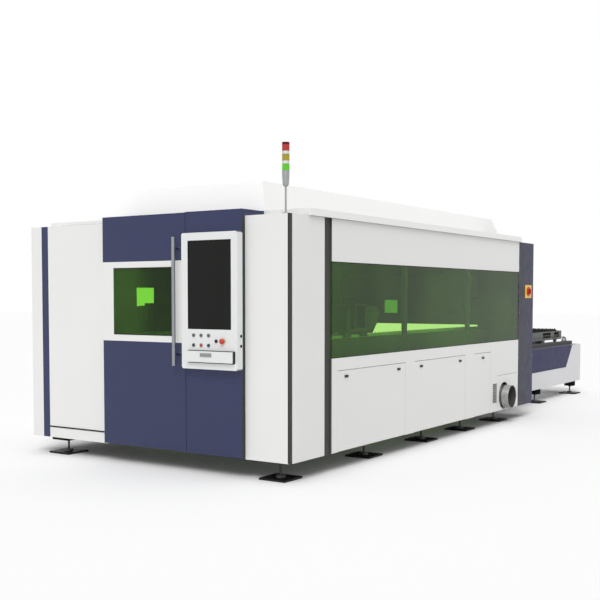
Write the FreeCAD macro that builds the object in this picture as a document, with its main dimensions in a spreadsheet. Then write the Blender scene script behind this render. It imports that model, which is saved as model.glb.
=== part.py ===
import FreeCAD, Part
import Sketcher
import math
import os
import re

# Enclosed sheet cutting machine with an exchange table.
# Every length is in millimetres. The driving sizes are measured in the machine's own
# layout: X runs from the front face to the exchange table, Y from the window side to the
# far side, Z up from the floor. The finished pieces are moved so that the origin lies at
# the centre of the footprint.

doc = FreeCAD.newDocument("laser_cutting_machine")

# ---------------------------------------------------------------- driving sizes
DRIVING = {
    # pallets and their rails
    "pallet_len": 3050, "pallet_wid": 1560, "plate_thick": 8, "plate_high": 120,
    "plate_lift": 35, "slat_high": 90, "slat_thick": 4, "slat_pitch": 95,
    "tooth_pitch": 62, "tooth_deep": 32, "slat_margin": 60, "wheel_rad": 45, "wheel_wide": 30,
    "wheel_clear": 30, "cross_tube": 60, "cross_tubes": 5, "lower_rail": 510, "level_gap": 12,
    "rail_thick": 28, "rail_reach": 47, "chain_rise": 60, "chain_thick": 14, "chain_wide": 22,
    "chain_gap": 11, "chain_clear": 4, "shaft_rad": 17, "shaft_fit": 0.05, "chain_tail": 35,
    "idler_lead": 130, "sprocket_teeth": 24, "tooth_out": 7.5, "tooth_foot": 15, "beam_in": 48.5,
    # lengths along the machine
    "bay_front": 1380, "bay_rear": 175, "table_gap": 275,
    "cabinet_len": 459, "cabinet_wid": 380, "corner_end": 474, "recess_wid": 107,
    # widths and heights of the enclosure
    "side_bay": 608.5, "encl_top": 2000, "encl_bot": 150, "window_low": 902,
    "window_high": 1665, "glass_thick": 8, "panel_deep": 25, "sheet": 2, "seam": 3,
    "strip_front": 17, "bevel_wid": 50, "bevel_deep": 6,
    "post_wid": 34, "post_deep": 40, "post_lead": 45, "post_after": 125, "tube_high": 80, "tube_wid": 80, "tube_wall": 5,
    "frame_in": 30, "close_gap": 0.5, "beam_drop": 55, "beam_high": 40,
    # roof
    "lip_start": 247, "lip_over": 20, "lip_wide": 60, "lip_high": 55, "lip_tail": 22,
    "hood_lead": 3, "hood_side": 407, "hood_slope": 80, "hood_high": 241,
    # front portal, sliding door and track
    "portal_near": 412, "console_wid": 555, "door_wid": 893, "portal_proud": 40,
    "portal_deep": 263, "portal_bot": 160, "portal_rise": 50, "jamb_wid": 40,
    "leaf_thick": 35, "window_in": 128, "window_wid": 642, "pane_low": 1077,
    "pane_high": 547, "track_x": 165, "track_wid": 20, "track_high": 18, "run_gap": 0.3,
    "bar_in": 61, "bar_rad": 15, "bar_out": 70, "bar_low": 848, "bar_high": 1854,
    "guide_height": 245, "strip_from_far": 132, "strip_wid": 80,
    # console
    "housing_deep": 65, "housing_near": 407, "housing_wid": 543, "housing_low": 832,
    "housing_high": 1880, "housing_wall": 3, "housing_round": 18, "screen_near": 467,
    "screen_wid": 420, "screen_low": 1140, "screen_high": 680, "button_rad": 10.9,
    "button_fit": 0.1, "button_upper": 1092, "button_lower": 1016, "button_first": 682,
    "button_pitch": 73.5, "selector_y": 607, "stop_y": 541, "stop_z": 1051, "stop_rad": 20,
    "tray_near": 433, "tray_wid": 451, "tray_low": 888, "tray_high": 85, "tray_reach": 140,
    "tray_back": 220,
    # near side doors, measured along the lower edge
    "stile_front": 94, "stile_mid": 185, "stile_rear": 228, "door_a_wid": 1163,
    "door_c_wid": 437, "rear_zone": 792, "door_top": 800, "door_deep": 20, "hinge_y": 14,
    "hinge_up": 12, "hinge_inset": 150, "pin_rad": 4, "pin_fit": 0.05, "ear_reach": 20,
    "ear_thick": 5, "knuckle_rad": 8, "latch_down": 50, "latch_in": 130,
    "latch_half": 25, "latch_high": 20, "latch_shaft": 5,
    # extraction pipe, louvre and service panel
    "duct_lap": 9, "duct_above": 6, "duct_rad": 125, "duct_wall": 3, "duct_out": 90,
    "duct_in": 320, "duct_ring": 23, "hole_lead": 10, "hole_up": 8, "bead_proud": 4,
    "bead_at": 12, "bead_wid": 7, "service_top": 533, "service_lead": 40,
    "service_end_in": 51, "louvre_lead": 135, "louvre_wid": 112, "louvre_low": 243,
    "louvre_high": 209,
    # feet
    "foot_plate": 240, "foot_thick": 15, "foot_boss": 40, "foot_screw": 9, "foot_y": 190,
    "foot_one": 150, "foot_two": 1430, "foot_from_rear": 244, "foot_pitch": 907,
    "foot_pad": 40, "foot_pad_wid": 200, "pad_foot_in": 285, "block_high": 65, "block_wid": 115,
    "table_foot_y": 445, "table_foot_near": 1723, "table_foot_far": 281,
    # welded bed and X rails
    "bed_start": 900, "bed_y": 330, "bed_wid": 200, "bed_low": 470, "bed_top": 1020,
    "bed_wall": 10, "xrail_y": 430, "xrail_wid": 36, "xrail_high": 28, "rack_wid": 22,
    # gantry, carriage and head
    "gantry_x": 1650, "gantry_wid": 180, "gantry_high": 220, "saddle_len": 400,
    "saddle_thick": 25, "head_out": 160, "head_rad": 38, "head_stroke": 120, "head_clear": 20,
    # exchange table
    "table_side": 223.5, "table_bot": 175, "table_top": 700, "blue_low": 400,
    "blue_end_top": 382, "blue_end_low": 651, "blue_thick": 3, "beam_wid": 60,
    # rear opening, shutter and main switch
    "peep_in": 760, "peep_wid": 270, "peep_low": 1285, "peep_high": 200,
    "rear_pane_y": 1530, "rear_pane_wid": 180, "rear_pane_z": 1190, "rear_pane_high": 155,
    "opening_near": 470, "opening_low": 482, "opening_high": 1062, "shutter_thick": 4,
    "shutter_travel": 565, "shutter_spare": 25, "shutter_above": 8,
    "shutter_shoulder": 193, "shutter_back": 13, "switch_near": 195, "switch_wid": 200,
    "switch_low": 1371, "switch_high": 149,
    # signal tower
    "tower_x": 30, "tower_y": 60, "tower_rad": 27.5, "pole_rad": 7.5, "pole_high": 198,
    # doorway, hangers and door band
    "jamb_deep": 104, "guide_thick": 3.5, "guide_half": 6, "pane_back": 12, "band_low": 1025,
    "band_high": 1671, "hanger_lift": 6, "hanger_high": 32, "hanger_in": 112, "hanger_half": 40,
    "bar_stand": 90,
    # controls, tray and lamps
    "run_lip": 13, "screen_recess": 1.5, "screen_thick": 12, "bezel_rad": 15, "bezel_thick": 4,
    "socket_x": -60, "socket_rad": 11, "button_out": 9, "button_in": 20, "grip_half": 3,
    "stop_neck": 14, "stop_cap": 16, "tray_front": 130, "grip_near": 633, "grip_wid": 109,
    "grip_high": 27, "keys_deep": 140, "keys_high": 22, "tower_foot": 6, "tower_cone": 84,
    "tower_base": 31, "lens_high": 48.5, "lens_gap": 22.5,
    # latches, pipe saddle, pans and isolator
    "knuckle_half": 14.5, "latch_out": 6, "latch_inner": 8, "latch_grip": 3, "latch_cam": 30,
    "saddle_y": 130, "saddle_wid": 40, "pan_high": 200, "knob_rad": 28, "knob_half": 7,
    "knob_deep": 30,
    # bed, gantry and head
    "leg_half": 35, "cross_high": 170, "rack_y": 468, "saddle_y_low": 370, "saddle_y_high": 540,
    "block_half": 55, "block_lap": 16, "motor_side": 90, "motor_tall": 191, "yrail_in": 42,
    "yrail_deep": 20, "yrail_half": 12, "yrail_start": 560, "plate_out": 40, "plate_wall": 18,
    "plate_half": 90, "column_out": 100, "column_half": 60, "column_up": 190, "zrail_deep": 6,
    "zrail_half": 20, "yblock_long": 60, "yblock_half": 26, "slide_up": 130,
    "slide_high": 240, "slide_thick": 12, "nozzle_high": 80, "barrel_high": 330,
    "nozzle_rad": 4,
    # pallet details, drive and table details
    "gap_margin": 15, "gap_one_far": 780, "gap_one_near": 460, "gap_two_far": 310,
    "gap_two_near": 110, "ledge_wid": 24, "wheel_y": 622, "axle_rad": 10, "bracket_half": 30,
    "cross_rise": 50, "sprocket_in": 4.5, "tooth_half": 8, "end_tube_in": 70, "gear_reach": 95,
    "gear_y": 900, "gear_wid": 110, "gear_drop": 85, "gear_rise": 95, "end_tube_top": 300,
    "motor_rad": 60, "flange_half": 45,
}

# Sizes that follow from the driving ones.
DERIVED = {
    "encl_wid": "pallet_wid + 2 * side_bay",
    "side_end": "bay_front + pallet_len + bay_rear",
    "side_start": "corner_end + recess_wid",
    "encl_len": "side_end + cabinet_len",
    "table_start": "side_end + table_gap",
    "wheel_inset": "pallet_len / (2 * cross_tubes) - cross_tube / 2 - wheel_rad - wheel_clear",
    "slat_rise": "2 * wheel_rad + sheet + plate_thick + slat_high",
    "level_pitch": "slat_rise + rail_thick + level_gap",
    "upper_rail": "lower_rail + level_pitch",
    "sprocket_rad": "level_pitch / 2",
    "table_tail": "chain_tail + sprocket_rad + chain_thick / 2 + panel_deep + chain_clear",
    "table_end": "table_start + pallet_len + table_tail",
    "table_near": "side_bay - table_side",
    "strip_side": "panel_deep",
    "portal_high": "encl_top + portal_rise",
    "door_near": "portal_near + console_wid",
    "portal_far": "door_near + door_wid",
    "strip_high": "encl_wid - strip_from_far",
    "strip_low": "strip_high - strip_wid",
    "post_near": "panel_deep + close_gap",
    "frame_low": "portal_bot",
    "frame_high": "frame_low + tube_high",
    "beam_low": "encl_top - beam_drop",
    "tie_high": "beam_low + beam_high",
    "post_inner": "post_near + post_deep",
    "frame_inner": "frame_in + tube_wid",
    "door_bot": "encl_bot + seam",
    "hinge_z": "door_bot + hinge_up",
    "latch_z": "door_top - latch_down",
    "beam_inner": "side_bay - beam_in",
    "beam_outer": "beam_inner - beam_wid",
    "head_y": "side_bay + pallet_wid / 2 - close_gap",
    "nozzle_z": "upper_rail + slat_rise + head_stroke + head_clear",
    "barrel_low": "nozzle_z + nozzle_high",
    "slide_low": "nozzle_z + slide_up",
    "head_x": "gantry_x + gantry_wid / 2 + head_out",
    "service_end": "side_end - service_end_in",
    "door_a_start": "side_start + stile_front",
    "door_a_end": "door_a_start + door_a_wid",
    "door_b_start": "door_a_end + stile_mid",
    "door_c_end": "side_end - rear_zone",
    "door_c_start": "door_c_end - door_c_wid",
    "door_b_end": "door_c_start - stile_rear",
    "post_two": "door_a_end + post_lead",
    "post_three": "door_b_end + post_after",
    "foot_five": "side_end - foot_from_rear",
    "duct_x": "foot_five - tube_wid / 2 - duct_rad + duct_lap",
    "duct_hole": "duct_rad + duct_ring",
    "duct_z": "encl_bot + duct_above + duct_hole - hole_up",
    "service_start": "duct_x - duct_hole - hole_lead - service_lead",
    "louvre_start": "service_start - louvre_lead",
    "bead_rad": "duct_rad + bead_proud",
    "foot_four": "foot_five - foot_pitch",
    "foot_three": "foot_four - foot_pitch",
    "chain_low": "lower_rail + chain_rise",
    "chain_high": "upper_rail + chain_rise",
    "sprocket_z": "(chain_low + chain_high) / 2",
    "drive_x": "table_start + pallet_len + chain_tail",
    "idler_x": "bay_front - idler_lead",
    "chain_y": "side_bay - chain_gap - chain_wide",
    "saddle_low": "bed_top + xrail_high + 26",
    "saddle_high": "saddle_low + saddle_thick",
    "gantry_top": "saddle_high + gantry_high",
    "gantry_face": "gantry_x + gantry_wid / 2",
    "housing_front": "portal_proud + housing_deep",
    "housing_far": "housing_near + housing_wid",
    "tray_far": "tray_near + tray_wid",
    "tray_top": "tray_low + tray_high",
    "pane_near": "door_near + window_in",
    "shutter_y": "opening_near + 7",
    "shutter_x": "side_end - shutter_back",
    "shutter_z": "opening_high + seam",
    "shutter_step": "chain_high + chain_thick / 2 + shutter_above + shutter_travel - shutter_z",
    "blue_edge": "table_end - blue_end_top",
    "origin_x": "(table_end - tray_reach) / 2",
    "origin_y": "(encl_wid + lip_over - duct_out) / 2",
}


def fill_sheet(name, cells, formula):
    """Writes one value with an alias in each row of a new sheet."""
    sheet = doc.addObject("Spreadsheet::Sheet", name)
    for row, (alias, content) in enumerate(cells.items(), 1):
        sheet.set("A%d" % row, alias)
        sheet.set("B%d" % row, "=" + linked(content) if formula else str(content))
        sheet.setAlias("B%d" % row, alias)
    return sheet


def linked(expression):
    """Puts the sheet's name before each size that an expression names."""
    def with_sheet(found):
        word = found.group(0)
        if word in DRIVING:
            return "dims." + word
        if word in DERIVED:
            return "layout." + word
        return word
    return re.sub(r"[a-z][a-z_]*", with_sheet, str(expression))


dims = fill_sheet("dims", DRIVING, False)
layout = fill_sheet("layout", DERIVED, True)
doc.recompute()


def size(alias):
    """The present value of a named size."""
    return float((dims if alias in DRIVING else layout).get(alias))


LOUVRE_SLOTS = 10
WHEELS = 4
BUTTON_COLUMNS = 3
LAMPS = 3


# ---------------------------------------------------------------- building helpers
NODES = []


def bind(thing, prop, expression):
    """Ties a property to the sheets."""
    thing.setExpression(prop, linked(expression))


def put(thing, x, y, z):
    """Ties a placement's base to the sheets."""
    bind(thing, "Placement.Base.x", x)
    bind(thing, "Placement.Base.y", y)
    bind(thing, "Placement.Base.z", z)
    return thing


def box(x_low, x_high, y_low, y_high, z_low, z_high):
    """A block between two values on each axis."""
    block = doc.addObject("Part::Box", "block")
    bind(block, "Length", "(%s) - (%s)" % (x_high, x_low))
    bind(block, "Width", "(%s) - (%s)" % (y_high, y_low))
    bind(block, "Height", "(%s) - (%s)" % (z_high, z_low))
    return put(block, x_low, y_low, z_low)


TURN = {
    "X": FreeCAD.Rotation(FreeCAD.Vector(0, 1, 0), 90),
    "Y": FreeCAD.Rotation(FreeCAD.Vector(1, 0, 0), -90),
    "Z": FreeCAD.Rotation(),
}


def rod(axis, x, y, z, radius, length):
    """A cylinder that starts at a point and runs along the positive axis."""
    bar = doc.addObject("Part::Cylinder", "rod")
    bar.Placement = FreeCAD.Placement(FreeCAD.Vector(), TURN[axis])
    bind(bar, "Radius", radius)
    bind(bar, "Height", length)
    return put(bar, x, y, z)


def cone(axis, x, y, z, radius_start, radius_end, length):
    """A cone frustum that runs along the positive axis."""
    body = doc.addObject("Part::Cone", "cone")
    body.Placement = FreeCAD.Placement(FreeCAD.Vector(), TURN[axis])
    bind(body, "Radius1", radius_start)
    bind(body, "Radius2", radius_end)
    bind(body, "Height", length)
    return put(body, x, y, z)


def frustum(low, high):
    """A slanted block between a low rectangle (x, x, y, y, z) and a high one."""
    wedge = doc.addObject("Part::Wedge", "slanted")
    wedge.Placement = FreeCAD.Placement(FreeCAD.Vector(), TURN["Y"].inverted())
    bind(wedge, "Xmin", low[0])
    bind(wedge, "Xmax", low[1])
    bind(wedge, "Zmin", "-(%s)" % low[3])
    bind(wedge, "Zmax", "-(%s)" % low[2])
    bind(wedge, "Ymin", low[4])
    bind(wedge, "X2min", high[0])
    bind(wedge, "X2max", high[1])
    bind(wedge, "Z2min", "-(%s)" % high[3])
    bind(wedge, "Z2max", "-(%s)" % high[2])
    bind(wedge, "Ymax", high[4])
    return wedge


def cut(base, *tools):
    """Takes one or more shapes away from a base."""
    result = doc.addObject("Part::Cut", "cut")
    result.Base = base
    result.Tool = tools[0] if len(tools) == 1 else fuse(*tools)
    return result


def fuse(*shapes):
    """Joins shapes into one piece."""
    result = doc.addObject("Part::MultiFuse", "fuse")
    result.Shapes = list(shapes)
    result.Refine = True
    return result


def tray(x_low, x_high, y_low, y_high, z_low, z_high, open_side):
    """A folded sheet panel: a face with returned edges, open towards one side."""
    inner = {
        "-X": ["%s + sheet" % x_low, "%s - sheet" % x_high],
        "-Y": ["%s + sheet" % y_low, "%s - sheet" % y_high],
        "-Z": ["%s + sheet" % z_low, "%s - sheet" % z_high],
    }
    axis = "-" + open_side[1]
    if open_side[0] == "+":
        inner[axis][1] = {"X": x_high, "Y": y_high, "Z": z_high}[open_side[1]] + " + 1"
    else:
        inner[axis][0] = {"X": x_low, "Y": y_low, "Z": z_low}[open_side[1]] + " - 1"
    hollow = box(*inner["-X"], *inner["-Y"], *inner["-Z"])
    return cut(box(x_low, x_high, y_low, y_high, z_low, z_high), hollow)


def tube(axis, x_low, x_high, y_low, y_high, z_low, z_high, wall):
    """A rectangular tube, open at both ends."""
    ends = {"X": [x_low, x_high], "Y": [y_low, y_high], "Z": [z_low, z_high]}
    for name, pair in ends.items():
        if name == axis:
            ends[name] = ["%s - 1" % pair[0], "%s + 1" % pair[1]]
        else:
            ends[name] = ["%s + %s" % (pair[0], wall), "%s - %s" % (pair[1], wall)]
    hollow = box(*ends["X"], *ends["Y"], *ends["Z"])
    return cut(box(x_low, x_high, y_low, y_high, z_low, z_high), hollow)


def node(label, *pieces):
    """One named sub-part of the machine, moved to the frame at the footprint's centre."""
    group = doc.addObject("Part::Compound", label)
    group.Label = label
    group.Links = list(pieces)
    put(group, "-origin_x", "-origin_y", "0")
    NODES.append(group)
    return group


def body_at(name, x, y, z, rotation=None):
    """An empty body whose local origin lies at a point of the layout."""
    body = doc.addObject("PartDesign::Body", name)
    if rotation is not None:
        body.Placement = FreeCAD.Placement(FreeCAD.Vector(), rotation)
    return put(body, x, y, z)


def sketch_on(body, role, name):
    """A sketch on one of the body's own origin planes."""
    sketch = body.newObject("Sketcher::SketchObject", name)
    plane = [item for item in body.Origin.OriginFeatures if item.Role == role][0]
    sketch.AttachmentSupport = [(plane, "")]
    sketch.MapMode = "FlatFace"
    return sketch


def outline(sketch, corners):
    """A closed outline of straight lines; each corner is tied to the sheets."""
    count = len(corners)
    first = sketch.GeometryCount
    for number in range(count):
        start = guess(number, count)
        end = guess(number + 1, count)
        sketch.addGeometry(Part.LineSegment(start, end), False)
    for number in range(count):
        following = first + (number + 1) % count
        sketch.addConstraint(Sketcher.Constraint("Coincident", first + number, 2, following, 1))
    for number, corner in enumerate(corners):
        for kind, axis, expression in (("DistanceX", -2, corner[0]), ("DistanceY", -1, corner[1])):
            if expression == "0":
                sketch.addConstraint(Sketcher.Constraint("PointOnObject", first + number, 1, axis))
                continue
            limit = Sketcher.Constraint(kind, -1, 1, first + number, 1, 10.0 + number)
            index = sketch.addConstraint(limit)
            bind(sketch, "Constraints[%d]" % index, expression)


def guess(number, count):
    """A first position for an outline's corner, before its sizes place it."""
    angle = 2 * math.pi * (number % count) / count
    return FreeCAD.Vector(20 + 10 * math.cos(angle), 20 + 10 * math.sin(angle), 0)


def pad(body, sketch, length, name):
    """Extrudes a sketch by a named length."""
    feature = body.newObject("PartDesign::Pad", name)
    feature.Profile = sketch
    bind(feature, "Length", length)
    sketch.Visibility = False
    return feature


def turned(body, sketch, axis, name):
    """Revolves a sketch fully about one of its own axes."""
    feature = body.newObject("PartDesign::Revolution", name)
    feature.Profile = sketch
    feature.ReferenceAxis = (sketch, [axis])
    feature.Angle = 360
    sketch.Visibility = False
    return feature


SIDES = ("near", "far")


def far(y):
    """The same place measured from the far side."""
    return "encl_wid - (%s)" % y


def span(side, y_low, y_high):
    """A stretch across the machine on the near side, or its mirror on the far side."""
    return (y_low, y_high) if side == "near" else (far(y_high), far(y_low))


FEET = ("foot_one", "foot_two", "foot_three", "foot_four", "foot_five")
TABLE_FEET = ("table_end - table_foot_near", "table_end - table_foot_far")
DOORS = {
    "left": ("door_a_start", "door_a_end"),
    "middle": ("door_b_start", "door_b_end"),
    "right": ("door_c_start", "door_c_end"),
}


def hinge_places(start, end):
    """Where along a lower door its two hinges stand."""
    return ("%s + hinge_inset" % start, "%s - hinge_inset" % end)


# ---------------------------------------------------------------- frame and feet
def welded_frame():
    """Base tubes, posts, top beams and the fixed halves of the lower door hinges."""
    pieces = []
    low, high = "frame_low", "frame_high"
    near_runs = (("frame_in", "duct_x - duct_hole - frame_in"),
                 ("duct_x + duct_rad + bead_at", "encl_len - frame_in"))
    for start, end in near_runs:
        pieces.append(tube("X", start, end, "frame_in", "frame_inner", low, high, "tube_wall"))
    pieces.append(tube("X", "frame_in", "encl_len - frame_in", far("frame_inner"),
                       far("frame_in"), low, high, "tube_wall"))
    for foot in FEET:
        pieces.append(tube("Y", foot + " - tube_wid / 2", foot + " + tube_wid / 2",
                           "frame_inner", far("frame_inner"), low, high, "tube_wall"))
    front_tubes = (("frame_inner", "portal_near - seam"), ("portal_far + seam", far("frame_inner")))
    for start, end in front_tubes:
        pieces.append(tube("Y", "frame_in", "foot_one - tube_wid / 2", start, end, low, high,
                           "tube_wall"))
    posts = ("side_start", "post_two", "post_three", "side_end - post_deep")
    for side in SIDES:
        across = span(side, "post_near", "post_inner")
        for post in posts:
            pieces.append(tube("Z", post, post + " + post_wid", *across, high, "beam_low", "sheet"))
        pieces.append(tube("Z", "frame_in", "frame_in + post_wid", *across, high, "beam_low",
                           "sheet"))
        pieces.append(tube("X", "frame_in", "side_end - seam * 2", *across, "beam_low",
                           "tie_high", "sheet"))
    for post in posts:
        pieces.append(tube("Y", post, post + " + post_wid", "post_inner", far("post_inner"),
                           "beam_low", "tie_high", "sheet"))
    jambs = (("portal_near - seam - post_deep", "portal_near - seam"),
             ("portal_far + seam", "portal_far + seam + post_deep"))
    for start, end in jambs:
        pieces.append(tube("Z", "frame_in", "frame_in + post_wid", start, end, high, "beam_low",
                           "sheet"))
    front_ties = (("post_inner", "portal_near - seam"), ("portal_far + seam", far("post_inner")))
    for start, end in front_ties:
        pieces.append(tube("Y", "frame_in", "frame_in + post_wid", start, end, "beam_low",
                           "tie_high", "sheet"))
    for start, end in DOORS.values():
        for place in hinge_places(start, end):
            pieces.append(hinge_bracket(place))
    node("welded_frame", *pieces)


def hinge_bracket(place):
    """Two ears on the base tube with a pin between them."""
    ears = []
    for low in ("%s - ear_reach" % place, "%s + ear_reach - ear_thick" % place):
        ears.append(box(low, low + " + ear_thick", "hinge_y - knuckle_rad", "frame_in",
                        "hinge_z - knuckle_rad", "hinge_z + knuckle_rad"))
    pin = rod("X", "%s - ear_reach" % place, "hinge_y", "hinge_z", "pin_rad", "2 * ear_reach")
    return fuse(pin, *ears)


def foot(x, y, top):
    """A square plate, a round boss and a screw with its lock nut."""
    plate = box(x + " - foot_plate / 2", x + " + foot_plate / 2", y + " - foot_plate / 2",
                y + " + foot_plate / 2", "0", "foot_thick")
    boss = cone("Z", x, y, "foot_thick", "foot_boss", "foot_boss * 0.8", "foot_thick * 1.2")
    screw = rod("Z", x, y, "foot_thick * 2.2", "foot_screw", top + " - foot_thick * 2.2")
    nut = doc.addObject("Part::Prism", "nut")
    nut.Polygon = 6
    bind(nut, "Circumradius", "foot_screw * 1.9")
    bind(nut, "Height", "foot_thick")
    put(nut, x, y, top + " - foot_thick")
    return [plate, boss, fuse(screw, nut)]


def levelling_feet():
    """Feet under the cross tubes, one of them with a pad, and under the table's blocks."""
    pieces = []
    for x in FEET:
        pieces += foot(x, "foot_y", "frame_low")
    for x in FEET[1:]:
        pieces += foot(x, far("foot_y"), "frame_low")
    y = far("pad_foot_in")
    pieces += foot("foot_one", y, "frame_low - foot_pad")
    pieces.append(box("foot_one - foot_pad_wid / 2", "foot_one + foot_pad_wid / 2",
                      y + " - foot_pad_wid / 2", y + " + foot_pad_wid / 2",
                      "frame_low - foot_pad", "frame_low"))
    for y in ("table_foot_y", far("table_foot_y")):
        for x in TABLE_FEET:
            pieces += foot(x, y, "table_bot - block_high")
    node("levelling_feet", *pieces)


# ---------------------------------------------------------------- enclosure skins
def corner_cover(side):
    """A folded cover with a shallow bevel along its outer edge."""
    body = body_at("corner_cover_" + side, "strip_side",
                   "0" if side == "near" else "encl_wid", "encl_bot")
    sketch = sketch_on(body, "XY_Plane", "corner_profile_" + side)
    width = "corner_end - strip_side"
    profile = [
        ("0", "panel_deep"), ("0", "bevel_deep"), ("bevel_wid", "0"), (width, "0"),
        (width, "panel_deep"), (width + " - sheet", "panel_deep"), (width + " - sheet", "sheet"),
        ("bevel_wid", "sheet"), ("sheet", "bevel_deep + sheet"), ("sheet", "panel_deep"),
    ]
    if side == "far":
        profile = [(x, y if y == "0" else "-(%s)" % y) for x, y in profile]
    outline(sketch, profile)
    pad(body, sketch, "encl_top - encl_bot", "corner_pad_" + side)
    return body


def near_side_panels():
    """White panels round the long window, the lower doors and the extraction pipe."""
    start, end = "side_start + close_gap", "side_end - close_gap"
    deep = ("0", "panel_deep")
    half = "close_gap * 3"
    pieces = [
        corner_cover("near"),
        tray(start, end, *deep, "window_high", "encl_top", "+Y"),
        tray(start, end, *deep, "door_top + sheet", "window_low", "+Y"),
    ]
    stiles = ((start, "door_a_start - " + half),
              ("door_a_end + " + half, "door_b_start - " + half),
              ("door_b_end + " + half, "door_c_start - " + half))
    for low, high in stiles:
        pieces.append(tray(low, high, *deep, "encl_bot", "door_top + sheet", "+Y"))
    rear = tray("door_c_end + " + half, end, *deep, "encl_bot", "door_top + sheet", "+Y")
    service_hole = box("service_start - close_gap", "service_end + close_gap", "-1",
                       "panel_deep + 1", "encl_bot - 1", "service_top + close_gap")
    louvre_end = "louvre_start + louvre_wid"
    louvre_top = "louvre_low + louvre_high"
    louvre_hole = box("louvre_start", louvre_end, "-1", "sheet + 1", "louvre_low", louvre_top)
    pieces.append(cut(rear, service_hole, louvre_hole))
    service = tray("service_start", "service_end", *deep, "encl_bot", "service_top", "+Y")
    pieces.append(cut(service, rod("Y", "duct_x - hole_lead", "-1", "duct_z + hole_up",
                                   "duct_hole", "panel_deep + 2")))
    pieces.append(louvre(louvre_end, louvre_top))
    node("near_side_panels", *pieces)


def louvre(end, top):
    """A vent plate with level slots, seated behind its hole."""
    plate = box("louvre_start - panel_deep / 4", end + " + panel_deep / 4", "sheet", "sheet * 3",
                "louvre_low - panel_deep / 4", top + " + panel_deep / 4")
    slots = []
    for number in range(LOUVRE_SLOTS):
        level = "louvre_low + louvre_high * %d / %d" % (2 * number + 1, 2 * LOUVRE_SLOTS)
        slots.append(box("louvre_start + panel_deep / 4", end + " - panel_deep / 4", "0",
                         "sheet * 4", level, level + " + louvre_high / 30"))
    return cut(plate, *slots)


def far_side_panels():
    """White panels of the side that faces away, with two small windows."""
    start, end = "side_start + close_gap", "side_end - close_gap"
    deep = (far("panel_deep"), far("0"))
    first_seam, second_seam = "post_two + post_wid / 2", "post_three + post_wid / 2"
    bays = ((start, first_seam + " - close_gap"),
            (first_seam + " + close_gap", second_seam + " - close_gap"),
            (second_seam + " + close_gap", end))
    pieces = [corner_cover("far")]
    for low, high in bays:
        pieces.append(tray(low, high, *deep, "encl_bot", "window_low - close_gap", "-Y"))
    for number, (low, high) in enumerate(bays):
        upper = tray(low, high, *deep, "window_low + close_gap", "encl_top", "-Y")
        if number != 1:
            upper = cut(upper, box(*far_window(number), far("sheet + 1"), far("-1"),
                                   "peep_low", "peep_low + peep_high"))
        pieces.append(upper)
    node("far_side_panels", *pieces)


def far_window(number):
    """The stretch along the far side that a small window takes up."""
    start = "side_start + peep_in" if number == 0 else "side_end - peep_in - peep_wid"
    return start, start + " + peep_wid"


def front_panels():
    """White panels of the door end and the flat covers over the front section."""
    deep = ("0", "panel_deep")
    high = ("encl_bot", "encl_top")
    pieces = [
        tray(*deep, "strip_front", "portal_near - close_gap", *high, "+X"),
        tray(*deep, "portal_far + close_gap", "strip_low - close_gap", *high, "+X"),
        tray(*deep, "strip_high + close_gap", far("strip_front"), *high, "+X"),
    ]
    covers = (("panel_deep + close_gap", "portal_near - close_gap"),
              ("portal_far + close_gap", far("panel_deep + close_gap")))
    for low, high_y in covers:
        pieces.append(box("panel_deep + close_gap", "lip_start", low, high_y,
                          "encl_top - 2 * sheet", "encl_top"))
    node("front_panels", *pieces)


def dark_strips():
    """Recessed dark strips in the corners and beside the long window."""
    pieces = []
    for side in SIDES:
        corner = span(side, "0", "strip_front - close_gap")
        pieces.append(box("0", "strip_side - close_gap", *corner, "encl_bot", "encl_top"))
        recess = span(side, "panel_deep / 2", "panel_deep")
        pieces.append(box("corner_end + close_gap", "side_start", *recess, "encl_bot", "encl_top"))
    node("dark_strips", *pieces)


def rear_wall():
    """The wall with the pallet opening, its small window and the shutter's guides."""
    plate = box("side_end - ear_thick", "side_end", "post_inner + close_gap",
                far("post_inner + close_gap"), "frame_high", "beam_low")
    opening = box("side_end - ear_thick - 1", "side_end + 1", "opening_near", far("opening_near"),
                  "opening_low", "opening_high")
    pane_hole = box("side_end - ear_thick - 1", "side_end + 1", "rear_pane_y",
                    "rear_pane_y + rear_pane_wid", "rear_pane_z", "rear_pane_z + rear_pane_high")
    pieces = [cut(plate, opening, pane_hole)]
    for side in SIDES:
        rail = box("side_end - panel_deep + ear_thick", "side_end - ear_thick",
                   *span(side, "opening_near - ear_thick", "opening_near + 3 * ear_thick"),
                   "chain_high + ear_thick * 3", "opening_high + shutter_travel + shutter_spare")
        slot = box("shutter_x - close_gap", "shutter_x + shutter_thick + close_gap",
                   *span(side, "shutter_y - close_gap", "opening_near + 3 * ear_thick + 1"),
                   "chain_high", "opening_high + shutter_travel + shutter_spare + 1")
        pieces.append(cut(rail, slot))
    node("rear_wall", *pieces)


def rear_cabinets():
    """Upright cabinets on both sides of the exchange opening."""
    pieces = []
    for side in SIDES:
        outer = box("side_end + close_gap", "encl_len", *span(side, "0", "cabinet_wid"),
                    "encl_bot", "encl_top")
        hollow = box("side_end - 1", "encl_len - sheet",
                     *span(side, "sheet", "cabinet_wid - sheet"), "encl_bot - 1",
                     "encl_top - sheet")
        pieces.append(cut(outer, hollow))
    node("rear_cabinets", *pieces)


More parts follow.
